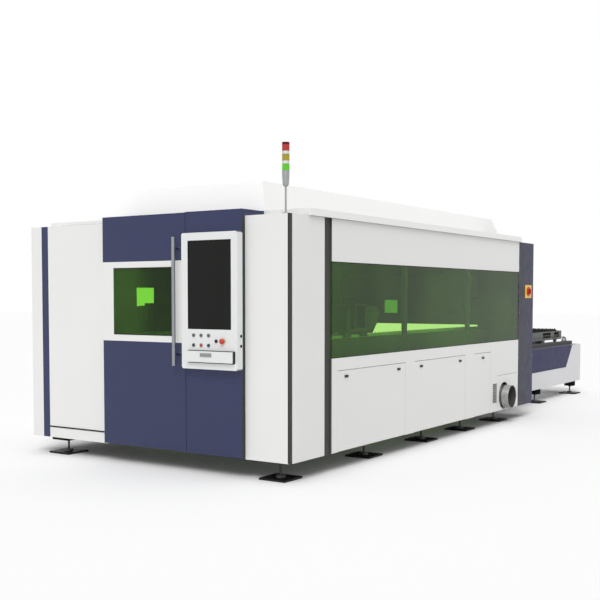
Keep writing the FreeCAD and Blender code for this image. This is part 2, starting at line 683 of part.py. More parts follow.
def laser_windows():
    """The long green pane and the small fixed panes."""
    pieces = [box("side_start + close_gap", "side_end - close_gap", "sheet",
                  "sheet + glass_thick", "window_low + close_gap", "window_high - close_gap")]
    lap = "glass_thick"
    for number in (0, 2):
        low, high = far_window(number)
        pieces.append(box("%s - %s" % (low, lap), "%s + %s" % (high, lap), far("sheet * 4"),
                          far("sheet"), "peep_low - " + lap, "peep_low + peep_high + " + lap))
    pieces.append(box("side_end", "side_end + glass_thick", "rear_pane_y - " + lap,
                      "rear_pane_y + rear_pane_wid + " + lap, "rear_pane_z - " + lap,
                      "rear_pane_z + rear_pane_high + " + lap))
    node("laser_windows", *pieces)


def roof():
    """The lip round the roof's edge, the deck, its front fascia and the raised hood."""
    low, high = "encl_top", "encl_top + lip_high"
    end = "side_end + lip_tail"
    pieces = []
    for side in SIDES:
        pieces.append(tray("lip_start", end, *span(side, "-lip_over", "lip_wide - lip_over"),
                           low, high, "-Z"))
    inner = "lip_wide - lip_over + close_gap"
    pieces.append(tray(end + " - lip_wide", end, inner, far(inner), low, high, "-Z"))
    pieces.append(box("lip_start", end + " - lip_wide - close_gap", inner, far(inner),
                      high + " - sheet", high))
    for fascia_low, fascia_high in ((inner, "portal_near - close_gap"),
                                    ("portal_far + close_gap", far(inner))):
        pieces.append(box("lip_start", "lip_start + sheet", fascia_low, fascia_high, low,
                          high + " - sheet"))
    cover = "cabinet_wid - frame_in"
    pieces.append(tray(end + " + close_gap", "encl_len", cover, far(cover), low, high, "-Z"))
    node("roof_lip", *pieces)
    top = high + " + hood_high"
    outer = hood_shape("0", high, top)
    hollow = hood_shape("sheet", high + " - 1", top + " - sheet")
    node("roof_hood", cut(outer, hollow))


def hood_shape(wall, low, high):
    """The hood's block with four slanted sides, drawn in by a wall."""
    rings = []
    for inset, level in ((wall, low), (wall + " + hood_slope", high)):
        rings.append(("lip_start + hood_lead + " + inset, "encl_len - (%s)" % inset,
                      "hood_side + " + inset, far("hood_side + " + inset), level))
    return frustum(*rings)


# ---------------------------------------------------------------- front portal and console
def door_portal():
    """The blue console column, the frame round the doorway and the narrow blue strip."""
    back, top = "portal_deep", "portal_high"
    front, fold = "-portal_proud", "sheet - portal_proud"
    column_end = "door_near - seam / 3"
    notch = box("foot_one - tube_wid / 2 - seam", "foot_one + tube_wid / 2 + seam",
                "portal_near - 1", "door_near", "portal_bot - 1", "frame_high + seam")
    slot = box("-portal_proud - 1", "sheet * 2 - portal_proud", "tray_near - seam",
               "tray_far + seam", "tray_low - seam", "tray_top + seam")
    wires = box("-portal_proud - 1", "sheet * 2 - portal_proud", "screen_near",
                "screen_near + screen_wid", "button_lower - button_pitch / 3",
                "button_upper + button_pitch / 2")
    pieces = [
        cut(box(front, fold, "portal_near", column_end, "portal_bot", top), slot, wires),
        cut(box(fold, back, "portal_near", "portal_near + sheet", "portal_bot", top), notch),
        cut(box(fold, back, column_end + " - sheet", column_end, "portal_bot", top), notch),
        box(fold, back, "portal_near + sheet", column_end + " - sheet", top + " - sheet", top),
        tube("Y", "0", back, "door_near", "portal_far", "beam_low + ear_thick", "encl_top",
             "sheet"),
        box(back + " - glass_thick / 2", back, "door_near", "portal_far", "encl_top",
            top + " - glass_thick / 2"),
        box("-seam", back, "door_near", "portal_far", top + " - glass_thick / 2", top),
        tube("Z", "0", "jamb_deep", "portal_far - jamb_wid", "portal_far", "portal_bot",
             "beam_low + ear_thick", "sheet"),
        tube("Y", "0", "jamb_deep", "door_near", "portal_far - jamb_wid", "frame_low",
             "frame_high", "sheet"),
        tray("0", "panel_deep", "strip_low", "strip_high", "encl_bot", "encl_top", "+X"),
    ]
    node("door_portal", *pieces)


def door_track():
    """The rail that carries the sliding door and the strip that guides its lower part."""
    rail = box("track_x - track_wid / 2", "track_x + track_wid / 2", "door_near + frame_in",
               "strip_low - ear_thick", "encl_top", "encl_top + track_high")
    guide = box("-guide_thick", "0", "portal_far + sheet", "strip_low - sheet",
                "guide_height - guide_half", "guide_height + guide_half")
    node("door_track", rail, guide)


def controls():
    """Name, place across and height of each control on the console."""
    found = []
    for row, level in (("upper", "button_upper"), ("lower", "button_lower")):
        for column in range(BUTTON_COLUMNS):
            place = "button_first + button_pitch * %d" % column
            found.append(("button_%s_%d" % (row, column + 1), place, level))
    found.append(("selector_switch", "selector_y", "stop_z"))
    found.append(("emergency_stop", "stop_y", "stop_z"))
    return found


def console_housing():
    """The rounded white front of the console, with the runners of its keyboard tray."""
    body = body_at("housing_shell", "-housing_front", "0", "0")
    face = sketch_on(body, "YZ_Plane", "housing_face")
    edges = [("housing_near", "housing_low"), ("housing_far", "housing_low"),
             ("housing_far", "housing_high"), ("housing_near", "housing_high")]
    outline(face, edges)
    block = pad(body, face, "housing_deep", "housing_pad")
    doc.recompute()
    rounding = body.newObject("PartDesign::Fillet", "housing_rounding")
    rounding.Base = (block, corner_edges(block.Shape))
    bind(rounding, "Radius", "housing_round")
    hollow = sketch_on(body, "YZ_Plane", "housing_hollow")
    bind(hollow, "AttachmentOffset.Base.z", "housing_wall")
    outline(hollow, [(shifted(y, "near", "housing_wall"), shifted(z, "low", "housing_wall"))
                     for y, z in edges])
    pocket = body.newObject("PartDesign::Pocket", "housing_pocket")
    pocket.Profile = hollow
    pocket.Reversed = True
    bind(pocket, "Length", "housing_deep")
    holes = [
        box("-housing_front - 1", "-portal_proud", "screen_near - close_gap",
            "screen_near + screen_wid + close_gap", "screen_low - close_gap",
            "screen_low + screen_high + close_gap"),
        box("-housing_front - 1", "-portal_proud", "tray_near - seam", "tray_far + seam",
            "tray_low - seam", "tray_top + seam"),
    ]
    for name, y, z in controls():
        holes.append(rod("X", "-housing_front - 1", y, z, "button_rad + button_fit",
                         "housing_wall + 2"))
    pieces = [cut(body, *holes)]
    runners = (("portal_near + sheet", "tray_near - run_gap", "portal_near + sheet",
                "tray_near + run_lip"),
               ("tray_far + run_gap", "door_near - seam / 3 - sheet", "tray_far - run_lip",
                "door_near - seam / 3 - sheet"))
    middle = "tray_low + tray_high / 2"
    for side_low, side_high, ledge_low, ledge_high in runners:
        wall = box("sheet - portal_proud", "tray_back + ear_thick", side_low, side_high,
                   "tray_low - ear_thick - run_gap", middle)
        ledge = box("sheet - portal_proud", "tray_back + ear_thick", ledge_low, ledge_high,
                    "tray_low - ear_thick - run_gap", "tray_low - run_gap")
        pieces.append(fuse(wall, ledge))
    node("console_housing", *pieces)


def shifted(place, low_word, distance):
    """An edge of an outline drawn inwards by a distance."""
    low = place.endswith("near") or place.endswith("_" + low_word)
    return "%s %s %s" % (place, "+" if low else "-", distance)


def corner_edges(shape):
    """The names of the edges that run along X."""
    names = []
    for number, edge in enumerate(shape.Edges, 1):
        direction = edge.tangentAt(edge.FirstParameter)
        if abs(direction.x) > 0.99:
            names.append("Edge%d" % number)
    return names


def console_fittings():
    """The screen, the rings round the controls and the two sockets at the side."""
    node("console_screen", box("screen_recess - housing_front", "screen_thick - housing_front",
                               "screen_near", "screen_near + screen_wid", "screen_low",
                               "screen_low + screen_high"))
    rings = []
    for name, y, z in controls():
        ring = rod("X", "-housing_front - bezel_thick", y, z, "bezel_rad", "bezel_thick")
        bore = rod("X", "-housing_front - bezel_thick - 1", y, z, "button_rad + button_fit",
                   "bezel_thick + 2")
        rings.append(cut(ring, bore))
    for level in ("button_upper", "button_lower"):
        rings.append(rod("Y", "socket_x", "housing_near - seam", level, "socket_rad", "seam"))
    node("console_bezels", *rings)


def console_controls():
    """Push buttons, a two-way selector and the red stop button."""
    for name, y, z in controls()[:2 * BUTTON_COLUMNS]:
        stem = rod("X", "-housing_front - button_out", y, z, "button_rad",
                   "button_out + button_in")
        node(name, stem)
    name, y, z = controls()[-2]
    stem = rod("X", "-housing_front - button_out", y, z, "button_rad", "button_out + button_in")
    grip = box("-housing_front - button_out * 2", "-housing_front - button_out", y + " - grip_half",
               y + " + grip_half", z + " - button_rad", z + " + button_rad")
    node(name, fuse(stem, grip))
    name, y, z = controls()[-1]
    body = body_at("stop_knob", "-housing_front", y, z)
    sketch = sketch_on(body, "XY_Plane", "stop_profile")
    outline(sketch, [("button_in", "0"), ("button_in", "button_rad"),
                     ("-stop_neck", "button_rad"), ("-stop_neck", "stop_rad"),
                     ("-stop_neck - stop_cap * 0.7", "stop_rad"),
                     ("-stop_neck - stop_cap", "stop_rad * 0.75"), ("-stop_neck - stop_cap", "0")])
    turned(body, sketch, "H_Axis", "stop_turn")
    node(name, body)


def keyboard_tray():
    """The drawer below the controls: a folded tray, its front plate, a grip and keys."""
    shell = tray("-tray_front", "tray_back", "tray_near", "tray_far", "tray_low", "tray_top", "+Z")
    front = box("-tray_front - ear_thick", "-tray_front", "tray_near", "tray_far", "tray_low",
                "tray_top")
    grip = box("-tray_reach", "-tray_front - ear_thick", "grip_near", "grip_near + grip_wid",
               "tray_low + tray_high / 2", "tray_low + tray_high / 2 + grip_high")
    keys = box("frame_in - tray_front", "frame_in - tray_front + keys_deep", "tray_near + frame_in",
               "tray_far - frame_in", "tray_low + sheet", "tray_low + sheet + keys_high")
    node("keyboard_tray", shell, front, grip, keys)


def signal_tower():
    """A slim pole with three stacked lamps above the front corner."""
    place = ("tower_x", "tower_y")
    foot_high, top = "tower_foot", "encl_top + pole_high"
    pole = fuse(rod("Z", *place, "encl_top", "tower_rad", foot_high),
                rod("Z", *place, "encl_top", "pole_rad", "pole_high"),
                cone("Z", *place, top, "pole_rad * 2", "tower_rad * 0.85", "tower_cone / 6"),
                cone("Z", *place, top + " + tower_cone / 6", "tower_rad * 0.85", "tower_rad",
                     "tower_cone * 5 / 6"),
                rod("Z", *place, top + " + tower_cone", "tower_rad", "tower_base"))
    level = top + " + tower_cone + tower_base"
    pieces, lenses = [pole], []
    for number in range(LAMPS):
        start = "%s + %d * (lens_high + lens_gap)" % (level, number)
        lenses.append(rod("Z", *place, start, "tower_rad", "lens_high"))
        gap = "lens_gap" if number < LAMPS - 1 else "lens_gap * 0.7"
        pieces.append(rod("Z", *place, start + " + lens_high", "tower_rad", gap))
    node("tower_pole", *pieces)
    node("tower_lenses", *lenses)


def sliding_door():
    """The front door: its folded leaf with hangers, its window and its long handle."""
    x_low, x_high = "-portal_proud", "leaf_thick - portal_proud"
    y_low, y_high = "door_near + seam / 3", "portal_far"
    z_low, z_high = "portal_bot + sheet", "portal_high - ear_thick"
    leaf = tray(x_low, x_high, y_low, y_high, z_low, z_high, "+X")
    window = box("-portal_proud - 1", "1", "pane_near", "pane_near + window_wid", "pane_low",
                 "pane_low + pane_high")
    ring = tube("X", "sheet - portal_proud", "pane_back - portal_proud", "pane_near - seam",
                "pane_near + window_wid + seam", "pane_low - seam", "pane_low + pane_high + seam",
                "seam")
    crossbars = [box("sheet - portal_proud", "pane_back - portal_proud", y_low + " + sheet",
                     y_high + " - sheet", level, level + " + seam")
                 for level in ("band_low", "band_high")]
    rings = fuse(ring, *crossbars)
    clear = box("-portal_proud - 1", "1", "pane_near", "pane_near + window_wid", "pane_low",
                "pane_low + pane_high")
    leaf = fuse(cut(leaf, window), cut(rings, clear))
    pieces = [leaf]
    block_low, block_high = "encl_top + hanger_lift", "encl_top + hanger_high"
    for place in ("door_near + hanger_in", "portal_far - hanger_in"):
        low, high = place + " - hanger_half", place + " + hanger_half"
        plate = box("sheet - portal_proud", "track_x + track_wid + ear_thick", low, high,
                    block_high, block_high + " + 2 * sheet")
        block = box("track_x - track_wid", "track_x + track_wid", low, high, block_low, block_high)
        channel = box("track_x - track_wid / 2 - run_gap", "track_x + track_wid / 2 + run_gap",
                      low + " - 1", high + " + 1", block_low + " - 1",
                      "encl_top + track_high + run_gap")
        pieces.append(fuse(plate, cut(block, channel)))
    node("door_leaf", *pieces)
    node("door_glass", box("sheet - portal_proud + close_gap", "pane_back - portal_proud",
                           "pane_near + close_gap", "pane_near + window_wid - close_gap",
                           "pane_low + close_gap", "pane_low + pane_high - close_gap"))
    handle = [rod("Z", "-portal_proud - bar_out", "door_near + bar_in", "bar_low", "bar_rad",
                  "bar_high - bar_low")]
    for level in ("bar_low + bar_stand", "bar_high - bar_stand"):
        handle.append(rod("X", "-portal_proud - bar_out", "door_near + bar_in", level,
                          "bar_rad * 0.7", "bar_out"))
    node("door_handle", fuse(*handle))


# ---------------------------------------------------------------- side doors
def side_door(name):
    """A lower service door hinged along its bottom edge."""
    start, end = DOORS[name]
    panel = tray(start, end, "0", "door_deep", "door_bot", "door_top - sheet", "+Y")
    places = hinge_places(start, end)
    knuckles, holes = [], []
    for place in places:
        low, high = place + " - knuckle_half", place + " + knuckle_half"
        knuckles.append(rod("X", low, "hinge_y", "hinge_z", "knuckle_rad", "2 * knuckle_half"))
        knuckles.append(box(low, high, "sheet / 2", "hinge_y", "hinge_z - ear_thick",
                            "hinge_z + ear_thick"))
        holes.append(rod("X", low + " - 1", "hinge_y", "hinge_z", "pin_rad + pin_fit",
                         "2 * knuckle_half + 2"))
        holes.append(box(place + " - ear_reach - pin_rad", place + " + ear_reach + pin_rad",
                         "sheet", "door_deep + 1", "door_bot - 1",
                         "hinge_z - knuckle_rad - close_gap"))
    for x in latch_places(name).values():
        holes.append(rod("Y", x, "-1", "latch_z", "latch_shaft + pin_fit", "sheet + 2"))
    node("side_door_" + name, cut(fuse(panel, *knuckles), *holes))


def latch_places(name):
    """Where the quarter-turn latches of a lower door stand."""
    start, end = DOORS[name]
    if name == "right":
        return {"right": "(%s + %s) / 2" % (start, end)}
    return {name + "_front": start + " + latch_in", name + "_rear": end + " - latch_in"}


def latches():
    """Quarter-turn latches: a flat head with a rib, a shaft through the sheet and a cam."""
    for door in DOORS:
        for name, x in latch_places(door).items():
            head = box(x + " - latch_half", x + " + latch_half", "-latch_out", "-run_gap",
                       "latch_z - latch_high / 2", "latch_z + latch_high / 2")
            rib = box(x + " - latch_half * 0.8", x + " + latch_half * 0.8", "-latch_out * 2",
                      "-latch_out", "latch_z - latch_grip", "latch_z + latch_grip")
            shaft = rod("Y", x, "-latch_out", "latch_z", "latch_shaft", "latch_out + latch_inner")
            cam = box(x + " - latch_shaft", x + " + latch_cam", "sheet + run_gap",
                      "latch_inner", "latch_z - latch_shaft", "latch_z + latch_shaft")
            node("latch_" + name, fuse(head, rib, shaft, cam))


# ---------------------------------------------------------------- pipe, pans, switch
def extraction_pipe():
    """The fume outlet low on the side, seated on a saddle beside a cross tube."""
    place = ("duct_x", "-duct_out", "duct_z")
    outer = rod("Y", *place, "duct_rad", "duct_out + duct_in")
    bead = rod("Y", "duct_x", "-bead_at", "duct_z", "bead_rad", "bead_wid")
    bore = rod("Y", "duct_x", "-duct_out - 1", "duct_z", "duct_rad - duct_wall",
               "duct_out + duct_in + 2")
    saddle = box("duct_x", "foot_five - tube_wid / 2", "saddle_y", "saddle_y + saddle_wid",
                 "frame_low", "frame_high")
    seat = rod("Y", "duct_x", "saddle_y - 1", "duct_z", "duct_rad + run_gap", "saddle_wid + 2")
    node("extraction_pipe", cut(fuse(outer, bead), bore), cut(saddle, seat))


def scrap_pans():
    """Three pans that lie on the cross tubes below the pallets."""
    half = "tube_wid / 2 - sheet"
    ends = (("foot_two - " + half, "foot_three - close_gap"),
            ("foot_three + close_gap", "foot_four - close_gap"),
            ("foot_four + close_gap", "foot_five + " + half))
    pans = [tray(low, high, "bed_y + bed_wid + bed_wall", far("bed_y + bed_wid + bed_wall"),
                 "frame_high", "frame_high + pan_high", "+Z") for low, high in ends]
    node("scrap_pans", *pans)


def main_switch():
    """The isolator on the rear cabinet: a square plate with a turning knob."""
    node("switch_plate", box("side_end + switch_near", "side_end + switch_near + switch_wid",
                             "-2 * sheet", "0", "switch_low", "switch_low + switch_high"))
    x, z = "side_end + switch_near + switch_wid / 2", "switch_low + switch_high / 2"
    knob = rod("Y", x, "-2 * sheet - run_gap - knob_deep / 2", z, "knob_rad", "knob_deep / 2")
    grip = box(x + " - knob_half", x + " + knob_half", "-2 * sheet - run_gap - knob_deep",
               "-2 * sheet - run_gap", z + " - knob_rad", z + " + knob_rad")
    node("main_switch", fuse(knob, grip))


# ---------------------------------------------------------------- bed, rails and gantry
def machine_bed():
    """The welded bed: a box beam along each side on legs, and a front cross beam."""
    pieces = []
    for side in SIDES:
        pieces.append(tube("X", "bed_start", "side_end - panel_deep",
                           *span(side, "bed_y", "bed_y + bed_wid"), "bed_low", "bed_top",
                           "bed_wall"))
        for x in FEET[1:]:
            pieces.append(tube("Z", x + " - leg_half", x + " + leg_half",
                               *span(side, "bed_y + bed_wall", "bed_y + bed_wid - bed_wall"),
                               "frame_high", "bed_low", "bed_wall"))
    pieces.append(tube("Y", "bed_start", "bed_start + tube_wid", "bed_y + bed_wid",
                       far("bed_y + bed_wid"), "bed_top - cross_high", "bed_top", "bed_wall"))
    node("machine_bed", *pieces)


def x_rails():
    """Guide rails and racks on top of the bed."""
    pieces = []
    for side in SIDES:
        pieces.append(box("bed_start + bed_wall * 2", "side_end - post_deep - ear_thick",
                          *span(side, "xrail_y - xrail_wid / 2", "xrail_y + xrail_wid / 2"),
                          "bed_top", "bed_top + xrail_high"))
        pieces.append(box("bed_start + bed_wall * 2", "side_end - post_deep - ear_thick",
                          *span(side, "rack_y", "rack_y + rack_wid"), "bed_top",
                          "bed_top + rack_wid"))
    node("x_rails", *pieces)


def gantry():
    """The bridge across the bed with its saddles, motors and cross rails."""
    pieces = []
    start, end = "gantry_x - gantry_wid / 2", "gantry_face"
    beam = tube("Y", start, end, "bed_y + bed_wall * 2", far("bed_y + bed_wall * 2"),
                "saddle_high", "gantry_top", "bed_wall")
    pieces.append(beam)
    for side in SIDES:
        pieces.append(box("gantry_x - saddle_len / 2", "gantry_x + saddle_len / 2",
                          *span(side, "saddle_y_low", "saddle_y_high"), "saddle_low",
                          "saddle_high"))
        for x in ("gantry_x - saddle_len / 2 + block_half", "gantry_x + saddle_len / 2 - block_half"):
            block = box(x + " - block_half", x + " + block_half",
                        *span(side, "xrail_y - xrail_wid / 2 - block_lap",
                              "xrail_y + xrail_wid / 2 + block_lap"),
                        "bed_top + xrail_high / 4", "saddle_low")
            channel = box(x + " - block_half - 1", x + " + block_half + 1",
                          *span(side, "xrail_y - xrail_wid / 2 - run_gap",
                                "xrail_y + xrail_wid / 2 + run_gap"),
                          "bed_top", "bed_top + xrail_high + run_gap")
            pieces.append(cut(block, channel))
        motor_end = start + " - bed_wall"
        pieces.append(box(motor_end + " - motor_side", motor_end,
                          *span(side, "xrail_y - motor_side / 2", "xrail_y + motor_side / 2"),
                          "saddle_high", "saddle_high + motor_tall"))
        pieces.append(box("gantry_x - motor_side / 2", "gantry_x + motor_side / 2",
                          *span(side, "rack_y + rack_wid + sheet", "saddle_y_high - bed_wall"),
                          "bed_top + sheet", "saddle_low"))
    for level in ("saddle_high + yrail_in", "gantry_top - yrail_in"):
        pieces.append(box(end, end + " + yrail_deep", "yrail_start", far("yrail_start"),
                          level + " - yrail_half", level + " + yrail_half"))
    node("gantry_beam", *pieces)


def carriage_and_head():
    """The cross carriage with its upright slide, and the cutting head on that slide."""
    face, y = "gantry_face", "head_y"
    plate = box(face + " + plate_out", face + " + plate_out + plate_wall", y + " - plate_half",
                y + " + plate_half", "saddle_high + bed_wall", "gantry_top")
    column = box(face + " + plate_out + plate_wall", face + " + column_out", y + " - column_half",
                 y + " + column_half", "saddle_high + bed_wall", "gantry_top + column_up")
    rail = box(face + " + column_out", face + " + column_out + zrail_deep", y + " - zrail_half",
               y + " + zrail_half", "saddle_high + panel_deep", "gantry_top + column_up")
    blocks = []
    for level in ("saddle_high + yrail_in", "gantry_top - yrail_in"):
        for start in (y + " - plate_half", y + " + plate_half - yblock_long"):
            block = box(face + " + yrail_deep / 3", face + " + plate_out", start,
                        start + " + yblock_long", level + " - yblock_half",
                        level + " + yblock_half")
            channel = box(face, face + " + yrail_deep + run_gap", start + " - 1",
                          start + " + yblock_long + 1", level + " - yrail_half - run_gap",
                          level + " + yrail_half + run_gap")
            blocks.append(cut(block, channel))
    node("y_carriage", plate, column, rail, *blocks)
    back = face + " + column_out + zrail_deep + run_gap"
    slide = box(back, back + " + slide_thick", y + " - column_half", y + " + column_half",
                "slide_low", "slide_low + slide_high")
    arm = box(back + " + slide_thick", "head_x", y + " - head_rad * 0.8", y + " + head_rad * 0.8",
              "slide_low + ear_reach", "slide_low + slide_high - ear_reach")
    barrel = rod("Z", "head_x", y, "barrel_low", "head_rad", "barrel_high")
    nozzle = cone("Z", "head_x", y, "nozzle_z", "nozzle_rad", "head_rad * 0.8",
                  "barrel_low - nozzle_z")
    plug = rod("Z", "head_x", y, "barrel_low + barrel_high", "head_rad / 2", "head_rad")
    node("cutting_head", fuse(slide, arm, barrel, nozzle, plug))


# ---------------------------------------------------------------- pallets and exchange drive
def pallet(name, start, rail, chain):
    """One cutting pallet: its welded frame with wheels, and its toothed slats."""
    end = "%s + pallet_len" % start
    bottom, top = "%s + plate_lift" % rail, "%s + plate_lift + plate_high" % rail
    inner = "side_bay + plate_thick"
    pieces = []
    for side in SIDES:
        plate = box(start, end, *span(side, "side_bay", inner), bottom, top)
        holes = [box(end + " - " + low, end + " - " + high,
                     *span(side, "side_bay - 1", inner + " + 1"),
                     bottom + " + gap_margin", top + " - gap_margin")
                 for low, high in (("gap_one_far", "gap_one_near"), ("gap_two_far", "gap_two_near"))]
        pieces.append(cut(plate, *holes))
        pieces.append(box(start + " + plate_thick", end + " - plate_thick",
                          *span(side, inner, inner + " + ledge_wid"),
                          rail + " + slat_rise - slat_high - plate_thick",
                          rail + " + slat_rise - slat_high"))
        for number in range(WHEELS):
            x = "%s + wheel_inset + (pallet_len - 2 * wheel_inset) * %d / %d" % (
                start, number, WHEELS - 1)
            z = rail + " + wheel_rad"
            low, high = span(side, "wheel_y", "wheel_y + wheel_wide")
            wheel = rod("Y", x, low, z, "wheel_rad - run_gap", "wheel_wide")
            low, high = span(side, inner, "wheel_y")
            pieces.append(fuse(wheel, rod("Y", x, low, z, "axle_rad", "wheel_y - (%s)" % inner)))
        x = "%s + pallet_len / 2" % start
        pieces.append(box(x + " - bracket_half", x + " + bracket_half",
                          *span(side, "side_bay - chain_gap + close_gap", "side_bay"),
                          chain + " - bracket_half / 2", chain + " + bracket_half / 2"))
    for low, high in ((start, start + " + plate_thick"), (end + " - plate_thick", end)):
        pieces.append(box(low, high, inner, far(inner), bottom, top))
    for number in range(int(size("cross_tubes"))):
        x = "%s + pallet_len * %d / (2 * cross_tubes)" % (start, 2 * number + 1)
        pieces.append(tube("Y", x + " - cross_tube / 2", x + " + cross_tube / 2", inner, far(inner),
                           rail + " + cross_rise", rail + " + cross_rise + post_deep", "sheet"))
    node(name + "_pallet_frame", *pieces)
    node(name + "_pallet_slats", slats(name, start, rail))


def slats(name, start, rail):
    """Upright sheet slats with teeth along their upper edge."""
    low = size("slat_rise") - size("slat_high")
    high = size("slat_rise")
    near = size("side_bay") + size("plate_thick") + size("close_gap")
    width = size("encl_wid") - 2 * near
    teeth = int(width // size("tooth_pitch"))
    margin = (width - teeth * size("tooth_pitch")) / 2
    points = [FreeCAD.Vector(0, near, low), FreeCAD.Vector(0, near, high - size("tooth_deep"))]
    for number in range(teeth):
        valley = near + margin + number * size("tooth_pitch")
        points.append(FreeCAD.Vector(0, valley, high - size("tooth_deep")))
        points.append(FreeCAD.Vector(0, valley + size("tooth_pitch") / 2, high))
    last = near + margin + teeth * size("tooth_pitch")
    points.append(FreeCAD.Vector(0, last, high - size("tooth_deep")))
    points.append(FreeCAD.Vector(0, near + width, high - size("tooth_deep")))
    points.append(FreeCAD.Vector(0, near + width, low))
    blade = Part.Face(Part.makePolygon(points + points[:1]))
    blade = blade.extrude(FreeCAD.Vector(size("slat_thick"), 0, 0))
    count = int((size("pallet_len") - 2 * size("slat_margin")) // size("slat_pitch")) + 1
    first = (size("pallet_len") - (count - 1) * size("slat_pitch") - size("slat_thick")) / 2
    copies = []
    for number in range(count):
        copy = blade.copy()
        copy.translate(FreeCAD.Vector(first + number * size("slat_pitch"), 0, 0))
        copies.append(copy)
    row = doc.addObject("Part::Feature", name + "_slat_row")
    row.Shape = Part.makeCompound(copies)
    put(row, start, "0", rail)
    return row


def pallet_rails():
    """Flat bars that carry the pallets' wheels inside and outside."""
    inside = ("bay_front + ear_reach", "side_end - glass_thick")
    outside = ("side_end + glass_thick", "drive_x - sprocket_rad - ear_reach")
    pieces = []
    for side in SIDES:
        for rail in ("lower_rail", "upper_rail"):
            for (low, high), root in ((inside, "bed_y + bed_wid"), (outside, "beam_inner")):
                pieces.append(box(low, high, *span(side, root, "side_bay + rail_reach"),
                                  rail + " - rail_thick", rail))
    node("pallet_rails", *pieces)


def chain_drive():
    """Endless chains, their two shafts with sprockets, and the geared motor."""
    loops = []
    for side in SIDES:
        across = span(side, "chain_y", "chain_y + chain_wide")
        outer = loop_solid("sprocket_rad + chain_thick / 2", across[0], across[1], "0")
        inner = loop_solid("sprocket_rad - chain_thick / 2", across[0], across[1], "1")
        loops.append(cut(outer, inner))
    node("drive_chains", *loops)
    for name, x, root in (("drive", "drive_x", "beam_inner"), ("idler", "idler_x",
                                                               "bed_y + bed_wid")):
        shaft = rod("Y", x, root, "sprocket_z", "shaft_rad", "encl_wid - 2 * (%s)" % root)
        wheels = [sprocket(name + "_" + side, x, span(side, "chain_y + sprocket_in",
                                                      "chain_y + chain_wide - sprocket_in"))
                  for side in SIDES]
        node(name + "_shaft", fuse(shaft, *wheels))
    motor_x = "table_end - end_tube_in - tube_wid / 2"
    gearbox = box("drive_x - panel_deep", "drive_x + gear_reach", "gear_y", "gear_y + gear_wid",
                  "sprocket_z - gear_drop", "sprocket_z + gear_rise")
    bore = rod("Y", "drive_x", "gear_y - 1", "sprocket_z", "shaft_rad + shaft_fit", "gear_wid + 2")
    motor = rod("Z", motor_x, "gear_y + gear_wid / 2", "end_tube_top", "motor_rad",
                "sprocket_z - gear_drop - end_tube_top")
    node("drive_motor", cut(gearbox, bore), motor)


def loop_solid(radius, y_low, y_high, grow):
    """A solid with two straight runs and round ends, from one shaft to the other."""
    low, length = "%s - %s" % (y_low, grow), "(%s) - (%s) + 2 * %s" % (y_high, y_low, grow)
    middle = box("idler_x", "drive_x", low, "%s + %s" % (y_high, grow),
                 "sprocket_z - (%s)" % radius, "sprocket_z + (%s)" % radius)
    return fuse(middle, rod("Y", "idler_x", low, "sprocket_z", radius, length),
                rod("Y", "drive_x", low, "sprocket_z", radius, length))


def sprocket(name, x, across):
    """A toothed wheel: a disc with one tooth repeated round its axis."""
    body = body_at("sprocket_" + name, x, across[1], "sprocket_z")
    disc = sketch_on(body, "XZ_Plane", "disc_" + name)
    index = disc.addGeometry(Part.Circle(FreeCAD.Vector(), FreeCAD.Vector(0, 0, 1), 50), False)
    disc.addConstraint(Sketcher.Constraint("Coincident", index, 3, -1, 1))
    number = disc.addConstraint(Sketcher.Constraint("Radius", index, 50.0))
    bind(disc, "Constraints[%d]" % number, "sprocket_rad - tooth_foot")
    pad(body, disc, "chain_wide - 2 * sprocket_in", "plate_" + name)
    tooth = sketch_on(body, "XZ_Plane", "tooth_" + name)
    root, tip = "sprocket_rad - tooth_foot", "sprocket_rad - tooth_out"
    outline(tooth, [("-tooth_half", root + " - ear_thick"), ("tooth_half", root + " - ear_thick"),
                    ("tooth_half * 0.5", tip), ("-tooth_half * 0.5", tip)])
    feature = pad(body, tooth, "chain_wide - 2 * sprocket_in", "first_tooth_" + name)
    pattern = body.newObject("PartDesign::PolarPattern", "teeth_" + name)
    pattern.Originals = [feature]
    pattern.Axis = (tooth, ["N_Axis"])
    pattern.Angle = 360
    bind(pattern, "Occurrences", "sprocket_teeth")
    body.Tip = pattern
    return body


